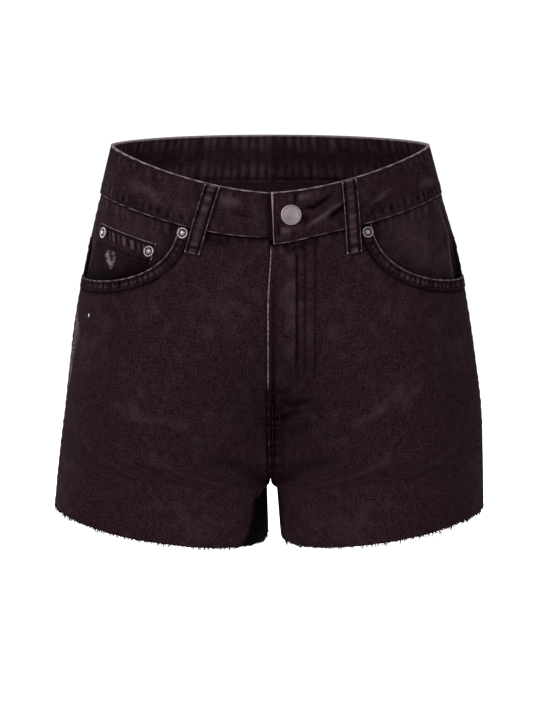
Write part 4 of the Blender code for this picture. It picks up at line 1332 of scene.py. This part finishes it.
def patchPiece(half):
    side = half.side
    name = sideNames[side]
    across = steps(
        (-1, -0.98, 0.01),
        (-0.98, -0.8, 0.018),
        (-0.8, 0.8, 0.036),
        (0.8, 0.98, 0.018),
        (0.98, 1, 0.01),
    )[None, :]
    down = steps(
        (0, 0.01, 0.005),
        (0.01, 0.15, 0.0095),
        (0.15, 0.86, 0.018),
        (0.86, 0.985, 0.0095),
        (0.985, 1, 0.005),
    )[:, None]
    drops, turns, halfWidth = patchPlace(half, across, down)
    points, normals = half.at(drops, turns)
    fromTop = drops - patch["top"] + 0 * across
    fromSides = halfWidth * (1 - np.abs(across))
    fromBottom = (1 - down) * (patch["side"] + patch["point"] * (1 - np.abs(across)))
    nearEdge = np.minimum(fromSides, fromBottom)
    run = drops + 0.6 * across * patch["halfTop"] * (fromBottom < fromSides)
    drops = drops + 0 * turns
    relief = Relief(drops)
    crest = ripple(run, 6.0, 101 + side)
    hemCrest = ripple(across * patch["halfTop"] + 70 + 0 * drops, 6.5, 103 + side)
    relief.pucker(hump(nearEdge - 4.6, 1.9) * ramp(fromTop, 12, 15), crest, 0.45, 0.4, 0.4)
    relief.pucker(ramp(fromTop, 2.0, 3.6) * (1 - ramp(fromTop, 11.0, 12.8)), hemCrest, 0.5, 0.4, 0.45)
    relief.edge(fromTop, 1.0, 1.2)
    relief.edge(nearEdge, 0.8, 1.0)
    for row in patch["rows"]:
        relief.groove(nearEdge - row, fromTop > 1)
    for row in (patch["rows"][0], patch["hem"]):
        relief.groove(fromTop - row)
    relief.wash += 0.06 * hump(fromBottom - 60, 40.0)
    outer = points + normals * (patch["outer"] + relief.lift)[..., None]
    inner = points + normals * patch["inner"]
    uv = np.stack([across * patch["halfTop"] + patternAt["patch"] + 0 * drops, -drops], axis=-1)
    obj = clothPiece("back_pocket_" + name + "_cloth", outer, inner, uv, relief.masks(), bevel=0.3)
    finished(obj, ["back_pocket_" + name], "denim")
    return obj


patches = {side: patchPiece(halves[side]) for side in (left, right)}
print("pockets ready")


flyInside = {  # mm under the surface, and mm from the centre
    "facing": (1.8, 2.8),
    "facingStart": 0.8,
    "underRight": 1.8,
    "underLeft": 3.1,
    "shieldWall": 1.0,
    "shieldRight": (20, 16, 12, 8, 5, 3),
    "shieldLeft": (3, 34),
    "topRight": 0.3,
    "topLeft": 4.7,
    "bottom": 168,
}


def flyPieces():  # the facing behind the left front, and the shield behind both
    half = halves[left]
    distances = steps((flyInside["facingStart"], fly["width"], 2.2))[None, :]
    share = np.linspace(0, 1, 60)[:, None]
    top = bandSeam(left, distances) + cut["gap"]
    drops = top + (flyBottom(distances) - 1 - top) * share
    points, normals = half.at(drops, distances / half.frontLength(drops))
    uv = np.stack([distances + 0 * drops + patternAt["flyFacing"], -drops], axis=-1)
    outer, inner = (points - normals * under for under in flyInside["facing"])
    obj = clothPiece("fly_facing_cloth", outer, inner, uv, {"inside": 0.5}, bevel=0.25)
    finished(obj, ["fly_facing"], "denim")
    columns = [(right, s, flyInside["underRight"]) for s in flyInside["shieldRight"]]
    columns += [(right, 0.3, flyInside["underLeft"])]
    columns += [(left, s, flyInside["underLeft"]) for s in np.linspace(*flyInside["shieldLeft"], 15)]
    higher = {right: flyInside["topRight"], left: flyInside["topLeft"]}
    tops = np.array([cut["band"] + higher[side] for side, _, _ in columns])
    drops = tops + (flyInside["bottom"] - tops) * np.linspace(0, 1, 58)[:, None]
    points, normals = np.empty((*drops.shape, 3)), np.empty((*drops.shape, 3))
    for j, (side, s, _) in enumerate(columns):
        half = halves[side]
        points[:, j], normals[:, j] = half.at(drops[:, j], s / half.frontLength(drops[:, j]))
    under = np.array([column[2] for column in columns])[None, :, None]
    outer = points - normals * under
    inner = points - normals * (under + flyInside["shieldWall"])
    aside = np.array([side * s for side, s, _ in columns]) + patternAt["flyShield"]
    uv = np.stack([aside + 0 * drops, -drops], axis=-1)
    obj = clothPiece("fly_shield_cloth", outer, inner, uv, {}, bevel=0.25)
    finished(obj, ["fly_shield"], "denim")


flyPieces()

loopSizes = {"width": 12.4, "row": 2.0, "backLower": 0.8, "footLift": 0.8, "tacks": (7.5, 56.0)}
loopProfile = {  # drop, and the distances of the two faces from the surface
    "drop": (1.5, 4.5, 9.0, 12.0, 22.0, 36.0, 44.0, 49.0, 53.0, 61.0),
    "inner": (1.5, 1.5, 1.5, 3.1, 3.8, 3.8, 3.0, 1.4, 0.6, 0.5),
    "outer": (4.0, 4.6, 4.7, 5.0, 5.4, 5.4, 4.8, 3.9, 3.1, 2.8),
}
loops = {
    "belt_loop_front_left": (64.8, 69.0, False),
    "belt_loop_front_right": (-47.5, -64.6, False),
    "belt_loop_side_left": (118.0, 120.0, True),
    "belt_loop_side_right": (-118.0, -120.0, True),
    "belt_loop_back": (0.0, 0.0, True),
}


def loopMiddle(top, bottom, drops):  # mm from the centre to the loop's middle
    first, last = loopProfile["drop"][0], loopProfile["drop"][-1]
    return top + (bottom - top) * (drops - first) / (last - first)


def loopPiece(name, top, bottom, behind, seed):
    first, last = loopProfile["drop"][0], loopProfile["drop"][-1]
    drops = steps((first, first + 1, 0.5), (first + 1, last - 1, 1.0), (last - 1, last, 0.5))
    edge = loopSizes["width"] / 2
    edges = steps((-edge, -edge + 3.2, 0.4), (-edge + 3.2, edge - 3.2, 0.8), (edge - 3.2, edge, 0.4))
    shape = (len(drops), len(edges))
    points, normals = np.empty((*shape, 3)), np.empty((*shape, 3))
    for i, drop in enumerate(drops):
        middle = loopMiddle(top, bottom, drop)
        real = drop + (loopSizes["backLower"] if behind else 0.0)
        for j, aside in enumerate(edges):
            distance = abs(middle + aside)
            half = halves[left if middle + aside > 0 else right]
            turn = 2 - distance / half.backLength(real) if behind else distance / half.frontLength(real)
            points[i, j], normals[i, j] = half.at(real, turn)
    foot = loopSizes["footLift"] * ramp(drops, 49.0, 53.0) * (not behind)
    outerAway = (np.interp(drops, loopProfile["drop"], loopProfile["outer"]) + foot)[:, None]
    innerAway = (np.interp(drops, loopProfile["drop"], loopProfile["inner"]) + foot)[:, None]
    near = (edge - np.abs(edges))[None, :] + 0 * outerAway
    downs = drops[:, None] + 0 * near
    ends = np.minimum(downs - first, last - downs)
    crest = ripple(downs + 5 + 9 * (edges[None, :] > 0), 5.5, seed)
    relief = Relief(near)
    relief.lift += 0.35 * ramp(near, 2.4, 4.4)
    relief.pucker(ramp(near, 2.6, 4.0), ripple(downs, 7.5, seed + 1), 0.3, 0.26, 0.25)
    relief.groove(near - loopSizes["row"], depth=0.5, dark=1.0, width=1.0)
    relief.edge(near, 0.75, 0.9, where=0.75 + 0.25 * crest)
    relief.edge(ends, 0.6, 1.0)
    relief.wash += 0.12 * ramp(near, 3.0, 5.0)
    for tack in loopSizes["tacks"]:
        relief.shadow(downs - tack, 0.5, 1.4)
    outer = points + normals * (outerAway + relief.lift)[..., None]
    inner = points + normals * (innerAway + 0 * near)[..., None]
    aside = edges[None, :] + patternAt["loops"] + 20 * seed
    uv = np.stack([aside + 0 * outerAway, -downs], axis=-1)
    obj = clothPiece(name + "_cloth", outer, inner, uv, relief.masks(), bevel=0.45)
    finished(obj, [name], "denimLight")
    return obj


loopPieces = {name: loopPiece(name, *place, 110 + k) for k, (name, place) in enumerate(loops.items())}
print("belt loops ready")


# Topstitching: one stitch is modelled, and copied along every row
stitch = {"halfSizes": (1.45, 0.30, 0.26), "pitch": 3.1, "reach": 0.7, "lift": 0.08}


def oneStitch():
    bpy.ops.mesh.primitive_uv_sphere_add(segments=6, ring_count=4, radius=1.0)
    obj = bpy.context.object
    bpy.ops.object.mode_set(mode="EDIT")
    bpy.ops.mesh.select_all(action="SELECT")
    bpy.ops.transform.rotate(value=math.pi / 2, orient_axis="Y", center_override=(0, 0, 0))
    bpy.ops.transform.resize(value=stitch["halfSizes"], center_override=(0, 0, 0))
    bpy.ops.object.mode_set(mode="OBJECT")
    points = np.array([v.co for v in obj.data.vertices], float)
    faces = [tuple(p.vertices) for p in obj.data.polygons]
    bpy.data.objects.remove(obj)
    return points, faces


stitchPoints, stitchFaces = oneStitch()
treeOf = {}


def surfaceTree(obj):
    if obj.name not in treeOf:
        treeOf[obj.name] = BVHTree.FromObject(obj, bpy.context.evaluated_depsgraph_get())
    return treeOf[obj.name]


def besides(line, normals, amount):  # the line moved sideways on the cloth
    way = np.gradient(line, axis=0)
    across = np.cross(normals, way)
    return line + across / np.linalg.norm(across, axis=1, keepdims=True) * amount


def stitchRow(obj, line, pitch=stitch["pitch"], size=1.0):
    # the points of a row of stitches laid on a cloth, from a line close over it
    tree = surfaceTree(obj)
    along = runAlong(line)
    found = []
    for s in (np.arange(max(1, int(along[-1] / pitch))) + 0.5) * pitch:
        places = (s - stitch["reach"], s, s + stitch["reach"])
        start, middle, end = (np.array([np.interp(p, along, column) for column in line.T]) for p in places)
        hit, normal, _, _ = tree.find_nearest(Vector(middle * mm))
        way = Vector(end - start)
        way -= normal * way.dot(normal)
        if way.length < 1e-6:
            continue
        way.normalize()
        turn = np.array([way, normal.cross(way), normal])
        centre = np.array(hit) / mm + np.array(normal) * stitch["lift"]
        found.append(centre + stitchPoints * size @ turn)
    return found


def joinedStitches(name, rows):
    sets = [points for row in rows for points in row]
    count = len(stitchPoints)
    faces = [[v + k * count for v in face] for k in range(len(sets)) for face in stitchFaces]
    obj = meshPiece(name, np.concatenate(sets), faces)
    obj.data.shade_smooth()
    finished(obj, [], "thread")
    print(name + ":", len(sets), "stitches")


def onCloth(half, drops, turns, away):  # points over the surface
    points, normals = half.at(drops, turns)
    return points + normals * away


def alongFront(half, across, drops, away):  # across is mm from the centre front
    return onCloth(half, drops, across / half.frontLength(drops), away)


def alongBack(half, across, drops, away):  # across is mm from the centre back
    return onCloth(half, drops, 2 - across / half.backLength(drops), away)


overCloth, overSeat, overPatch = 1.6, 1.5, 2.8  # where the rows' lines run, over the surface
frontRows = []
for side in (left, right):
    points, normals = halves[side].at(*mouthPath(side))
    for row in front["mouthRows"]:
        line = besides(points + normals * overCloth, normals, -row * side)
        frontRows.append(stitchRow(fronts[side], line[6:-2]))
for row, bottom in fly["rows"]:
    straight = np.linspace(bandSeam(left, row) + 2, fly["bend"], 60)
    t = np.linspace(0, math.pi / 2 * 0.985, 40)[1:]
    across = np.concatenate([np.full(60, row), row * np.cos(t)])
    drops = np.concatenate([straight, fly["bend"] + (bottom - fly["bend"]) * np.sin(t)])
    frontRows.append(stitchRow(fronts[left], alongFront(halves[left], across, drops, overCloth)))
drops = np.linspace(180, cut["crotch"] - 2, 80)
for row in front["crotchRows"]:
    frontRows.append(stitchRow(fronts[left], alongFront(halves[left], row, drops, overCloth)))
turns = np.linspace(coin["turns"][0] + 0.008, coin["turns"][1] - 0.004, 60)
for row in coin["rows"]:
    frontRows.append(stitchRow(coinPocket, onCloth(halves[right], coin["drops"][0] + row, turns, 0.5)))
drops = np.linspace(coin["drops"][0] + 2, 108, 50)
for turn, away in ((coin["turns"][0] + 0.010, -1.5), (coin["turns"][1] - 0.010, 0.5)):
    line = onCloth(halves[right], drops, slanted(drops, np.full(50, turn)), away)
    frontRows.append(stitchRow(coinPocket, line))
joinedStitches("topstitch_fronts", frontRows)

# down one side of a back pocket, along its bottom and up the other side, as shares of its width and height
edgeAcross = np.concatenate([np.full(60, -1.0), np.linspace(-1, 1, 90), np.full(60, 1.0)])
edgeDown = np.concatenate([np.linspace(0.004, 1, 60), np.full(90, 1.0), np.linspace(1, 0.004, 60)])
backRows = []
for side in (left, right):
    half = halves[side]
    for row in back["rows"]:
        turns = np.linspace(1.004, 1.997, 200)
        drops = yokeDrop(turns) + cut["gap"] + row
        backRows.append(stitchRow(backs[side], onCloth(half, drops, turns, overCloth)))
        across, down = edgeAcross * (1 - row / 57.0), np.minimum(edgeDown, 1 - row / 115.0)
        drops, turns, _ = patchPlace(half, across, down)
        backRows.append(stitchRow(patches[side], onCloth(half, drops, turns, overPatch)))
    for row in (patch["rows"][0], patch["hem"]):
        drops, turns, _ = patchPlace(half, np.linspace(-0.97, 0.97, 90), row / patch["side"])
        backRows.append(stitchRow(patches[side], onCloth(half, drops, turns, overPatch)))
seatDrops = np.linspace(yokeDrop(2.0) + 1, cut["crotch"] - 2, 160)
yokeDrops = np.linspace(cut["band"] + 1.5, yokeDrop(2.0) - 0.5, 40)
for row in back["rows"]:
    backRows.append(stitchRow(backs[left], alongBack(halves[left], row, seatDrops, overSeat)))
    backRows.append(stitchRow(yokes[left], alongBack(halves[left], row, yokeDrops, overSeat)))
joinedStitches("topstitch_backs", backRows)


def loopFace(drop):  # how far a loop's outer face stands from the surface
    return np.interp(drop, loopProfile["drop"], loopProfile["outer"])


def overLoop(distance, drop, behind, away):  # a point over a loop, mm to the left of the centre
    half = halves[left if distance > 0 else right]
    place = alongBack if behind else alongFront
    lower = loopSizes["backLower"] if behind else 0.0
    return place(half, abs(distance), drop + lower, away)


overBand = 1.9
bandRows = []
for side in (left, right):
    half = halves[side]
    start, away = (2.6, overBand) if side == left else (1.0, 0.9)
    turns = np.linspace(start / half.frontLength(0), 2.0, 420)
    seam = bandSeam(side, np.minimum(turns, 1) * half.frontLength(0))
    for drops in (np.full(420, band["rowsFromEdge"]), seam - band["rowsFromEdge"]):
        bandRows.append(stitchRow(waistband, onCloth(half, drops, turns, away)))
        behind = turns > 0.7
        bandRows.append(stitchRow(waistband, onCloth(half, drops[behind], turns[behind], -2.4)))
drops = np.linspace(3.0, 41.0, 40)
bandRows.append(stitchRow(waistband, alongFront(halves[left], 2.6 + 2.5 * drops / 44, drops, overBand)))
for name, (top, bottom, behind) in loops.items():
    first, last = loopProfile["drop"][0], loopProfile["drop"][-1]
    drops = np.linspace(first + 1.2, last - 0.8, 40)
    for edge in (-1, 1):
        distances = loopMiddle(top, bottom, drops) + edge * (loopSizes["width"] / 2 - loopSizes["row"])
        places = zip(distances, drops)
        line = np.array([overLoop(s, drop, behind, loopFace(drop) + 1.0) for s, drop in places])
        bandRows.append(stitchRow(loopPieces[name], line, pitch=2.9, size=0.92))
    for drop in loopSizes["tacks"]:
        for across in np.linspace(-4.0, 4.0, 9):
            distance = loopMiddle(top, bottom, drop) + across
            away = loopFace(drop) + 1.2
            line = np.array([overLoop(distance, drop + d, behind, away) for d in (-1.5, 0, 1.5)])
            bandRows.append(stitchRow(loopPieces[name], line, pitch=2.6, size=0.85))
joinedStitches("topstitch_waistband", bandRows)


# Metal
def lathe(name, profile, sides):  # a disc that is extruded and scaled ring by ring
    radius, height = profile[0]
    place = (0, 0, height * mm)
    bpy.ops.mesh.primitive_circle_add(vertices=sides, radius=radius * mm, fill_type="NGON", location=place)
    bpy.ops.object.transform_apply(location=True, rotation=True, scale=True)
    obj = bpy.context.object
    obj.name = name
    bpy.ops.object.mode_set(mode="EDIT")
    bpy.ops.mesh.select_mode(type="FACE")
    bpy.ops.mesh.select_all(action="SELECT")
    for nextRadius, nextHeight in profile[1:]:
        rise = (0, 0, (nextHeight - height) * mm)
        bpy.ops.mesh.extrude_region_move(TRANSFORM_OT_translate={"value": rise})
        grow = max(nextRadius, 0.02) / max(radius, 0.02)
        bpy.ops.transform.resize(value=(grow, grow, 1), center_override=(0, 0, nextHeight * mm))
        radius, height = nextRadius, nextHeight
    bpy.ops.mesh.select_all(action="SELECT")
    bpy.ops.mesh.remove_doubles(threshold=1e-7)
    bpy.ops.mesh.normals_make_consistent(inside=False)
    bpy.ops.object.mode_set(mode="OBJECT")
    return obj


def setOn(obj, point, normal, tarnish, darker=0.0):  # places a turned piece, with its tarnish
    radii = np.array([math.hypot(v.co.x, v.co.y) / mm for v in obj.data.vertices])
    heights = np.array([v.co.z / mm for v in obj.data.vertices])
    layer = obj.data.attributes.new("patina", "FLOAT", "POINT")
    layer.data.foreach_set("value", (tarnish(radii, heights) + darker).astype(np.float32))
    turn = Vector(normal).to_track_quat("Z", "Y").to_matrix().to_4x4()
    obj.data.transform(Matrix.Translation(Vector(point) * mm) @ turn)
    choose(obj)
    bpy.ops.object.shade_smooth_by_angle(angle=math.radians(35))


# Turned profiles are points of (radius, height)
buttonSizes = {
    "distance": 16.7,
    "drop": 20.5,
    "profile": (
        (2.0, -2.7), (2.0, 0.2), (6.8, 0.25), (7.8, 0.35), (8.3, 0.7), (8.5, 1.15),
        (8.5, 1.6), (8.35, 2.05), (8.0, 2.38), (7.6, 2.46), (7.25, 2.40), (7.0, 2.28),
        (6.6, 2.25), (5.5, 2.40), (4.0, 2.56), (2.0, 2.66), (0.6, 2.69), (0.1, 2.69),
    ),
}
rivetProfile = (
    (3.6, 0.05), (4.2, 0.1), (4.6, 0.35), (4.7, 0.8), (4.62, 1.15), (4.35, 1.42),
    (3.95, 1.52), (3.5, 1.44), (3.15, 1.15), (2.95, 0.72), (2.72, 0.62), (2.5, 0.75),
    (2.36, 1.1), (2.15, 1.5), (1.75, 1.85), (1.2, 2.06), (0.6, 2.15), (0.1, 2.16),
)
rivets = {  # half, turn, drop, height over the surface, and how dark all of it is
    "rivet_left": (left, 0.403, 47.0, 0.8, 0.3),
    "rivet_right": (right, 0.365, 46.0, 0.8, 0.0),
    "rivet_coin_inner": (right, 0.503, 68.0, coin["outer"], 0.0),
    "rivet_coin_outer": (right, 0.768, 67.0, coin["outer"], 0.3),
}


def buttonTarnish(radii, heights):  # in the groove within the rim, and low down
    return 0.55 * hump(radii - 7.05, 0.35) + 0.35 * (heights < 0.6)


def rivetTarnish(radii, heights):  # in the ring round the middle
    return 0.95 * hump(radii - 2.85, 0.55)


half = halves[left]
turn = buttonSizes["distance"] / half.frontLength(buttonSizes["drop"])
point, normal = half.at(buttonSizes["drop"], turn)
button = lathe("button_metal", buttonSizes["profile"], 64)
setOn(button, point + normal * band["outer"], normal, buttonTarnish)
finished(button, ["button"], "button")
for name, (side, turn, drop, lift, darker) in rivets.items():
    point, normal = halves[side].at(drop, turn)
    if lift == coin["outer"]:
        lift -= float(facingSink(side, drop, turn))
    rivet = lathe(name + "_metal", rivetProfile, 40)
    setOn(rivet, point + normal * (lift + 0.15), normal, rivetTarnish, darker)
    finished(rivet, [name], "rivet")
print("metal ready")

# The raw hem: a ragged strip and its loose threads
fringe = {
    "strands": 1150,
    "strip": 1.3,
    "stripSteps": 520,
    "tufts": 90,
    "short": (1.8, 4.6),
    "long": (4.5, 9.5),
    "longShare": {left: 0.126, right: 0.072},
    "radius": (0.28, 0.50),
    "corner": 2.0944,  # a third of a turn
    "seed": 5,
}


def fringePiece(half):
    side = half.side
    name = sideNames[side]
    chance = np.random.default_rng(fringe["seed"] + side)
    top = cut["hem"] + 0.15
    count = fringe["stripSteps"]
    turns = np.linspace(0.001, 1.999, count)
    ragged = fringe["strip"] * (0.55 + 0.45 * chance.random(count))
    verts, faces = [], []
    tuftPlaces = np.linspace(0, 1, fringe["tufts"])
    tufts = 0.6 + 0.8 * np.interp(np.linspace(0, 1, count), tuftPlaces, chance.random(fringe["tufts"]))
    for drop, away in ((top, -0.25), (top + ragged, -0.45), (top + ragged, -0.95), (top, -1.25)):
        verts += [tuple(v) for v in onCloth(half, drop, turns, away)]
    for k in range(4):
        for i in range(count - 1):
            a, b = k * count + i, (k + 1) % 4 * count + i
            faces.append((a, a + 1, b + 1, b))
    faces += [(0, count, 2 * count, 3 * count), tuple(k * count + count - 1 for k in (3, 2, 1, 0))]
    strands = fringe["strands"]
    rootTurns = (np.arange(strands) + chance.random(strands)) * 2 / strands
    longer = chance.random(strands) < fringe["longShare"][side]
    longLengths = chance.uniform(*fringe["long"], strands)
    lengths = np.where(longer, longLengths, chance.uniform(*fringe["short"], strands))
    for turn, length in zip(rootTurns, lengths):
        turn = float(np.clip(turn, 0.004, 1.996))
        length *= float(np.interp(turn, turns, tufts))
        point, normal = half.at(top + 0.4, turn)
        ahead, _ = half.at(top + 0.4, min(turn + 0.01, 2.0))
        lower, _ = half.at(top + 4.4, turn)
        around = ahead - point
        around /= np.linalg.norm(around) + 1e-9
        down = lower - point
        down /= np.linalg.norm(down)
        lean = chance.normal(0, 0.45)
        curl = chance.normal(0, 0.30)
        outward = chance.normal(0.0, 0.25)
        radius = chance.uniform(*fringe["radius"])
        base = point - normal * chance.uniform(0.4, 1.0)
        knots = 4 if length < 3 else 6
        centre = base
        way = down + around * lean * 0.4 + normal * outward * 0.4
        start = len(verts)
        for k in range(knots):
            share = k / (knots - 1)
            size = radius * (1 - 0.5 * share)
            for corner in range(3):
                angle = corner * fringe["corner"]
                aside = centre + around * size * math.cos(angle)
                verts.append(tuple(aside + normal * size * math.sin(angle)))
            way = way + around * (curl + lean * 0.25) + normal * outward * 0.2 + down * 0.15
            centre = centre + way / np.linalg.norm(way) * length / (knots - 1)
        for k in range(knots - 1):
            for corner in range(3):
                a = start + 3 * k + corner
                b = start + 3 * k + (corner + 1) % 3
                faces.append((a, b, b + 3, a + 3))
        faces.append((start, start + 2, start + 1))
        faces.append(tuple(start + 3 * (knots - 1) + c for c in range(3)))
    obj = meshPiece("hem_fray_" + name + "_threads", np.array(verts), faces)
    choose(obj)
    bpy.ops.object.mode_set(mode="EDIT")
    bpy.ops.mesh.select_all(action="SELECT")
    bpy.ops.mesh.normals_make_consistent(inside=False)
    bpy.ops.object.mode_set(mode="OBJECT")
    finished(obj, ["hem_fray_" + name], "fringe")
    return obj


fringes = {side: fringePiece(halves[side]) for side in (left, right)}
print("hems ready:", [len(o.data.polygons) for o in fringes.values()])

# Stage, light and camera
stage = {"floor": -0.75, "size": 24.0, "white": 0.92, "sky": 1.1}
bpy.ops.mesh.primitive_plane_add(size=stage["size"], location=(0, 0, stage["floor"]))
floor = bpy.context.object
floor.name = "floor"
paper = Finish("paleFloor")
paper.feed(Base_Color=(stage["white"],) * 3 + (1.0,), Roughness=0.9)
floor.data.materials.append(paper.material)

world = bpy.data.worlds.new("studio")
world.use_nodes = True
world.node_tree.nodes["Background"].inputs[0].default_value = (1.0, 1.0, 1.0, 1.0)
world.node_tree.nodes["Background"].inputs[1].default_value = stage["sky"]
bpy.context.scene.world = world
bpy.context.scene.view_settings.view_transform = "Standard"


lampTarget = (0, 0, -0.12)
lamps = {  # place and size in metres, and power in watts
    "keyLight": ((-1.6, -2.1, 1.3), 0.9, 210),
    "fillLight": ((1.7, -2.1, 0.7), 1.3, 108),
    "rimLightRight": ((-1.7, 1.3, 0.15), 0.8, 105),
    "rimLightLeft": ((1.7, 1.3, 0.15), 0.8, 40),
    "backLight": ((0.6, 2.2, 1.6), 1.4, 90),
}


def softbox(name, place, size, power):
    light = bpy.data.lights.new(name, "AREA")
    light.shape = "SQUARE"
    light.size = size
    light.energy = power
    obj = bpy.data.objects.new(name, light)
    bpy.context.scene.collection.objects.link(obj)
    obj.location = place
    obj.rotation_mode = "QUATERNION"
    obj.rotation_quaternion = (Vector(lampTarget) - Vector(place)).to_track_quat("-Z", "Y")


for name, (place, size, power) in lamps.items():
    softbox(name, place, size, power)

camera = {
    "distance": 2.3,
    "elevation": 8.0,
    "aim": (-0.0004, 0.0, -0.130),
    "lens": 134.5,
    "sensor": 36.0,
    "near": 0.1,
    "far": 60.0,
}
lens = bpy.data.cameras.new("camera")
lens.lens = camera["lens"]
lens.sensor_width = camera["sensor"]
lens.clip_start = camera["near"]
lens.clip_end = camera["far"]
eye = bpy.data.objects.new("camera", lens)
bpy.context.scene.collection.objects.link(eye)
tilt = math.radians(camera["elevation"])
eye.location = Vector(camera["aim"]) + Vector((0, -math.cos(tilt), math.sin(tilt))) * camera["distance"]
eye.rotation_euler = (math.pi / 2 - tilt, 0, 0)
bpy.context.scene.camera = eye
print("stage ready")
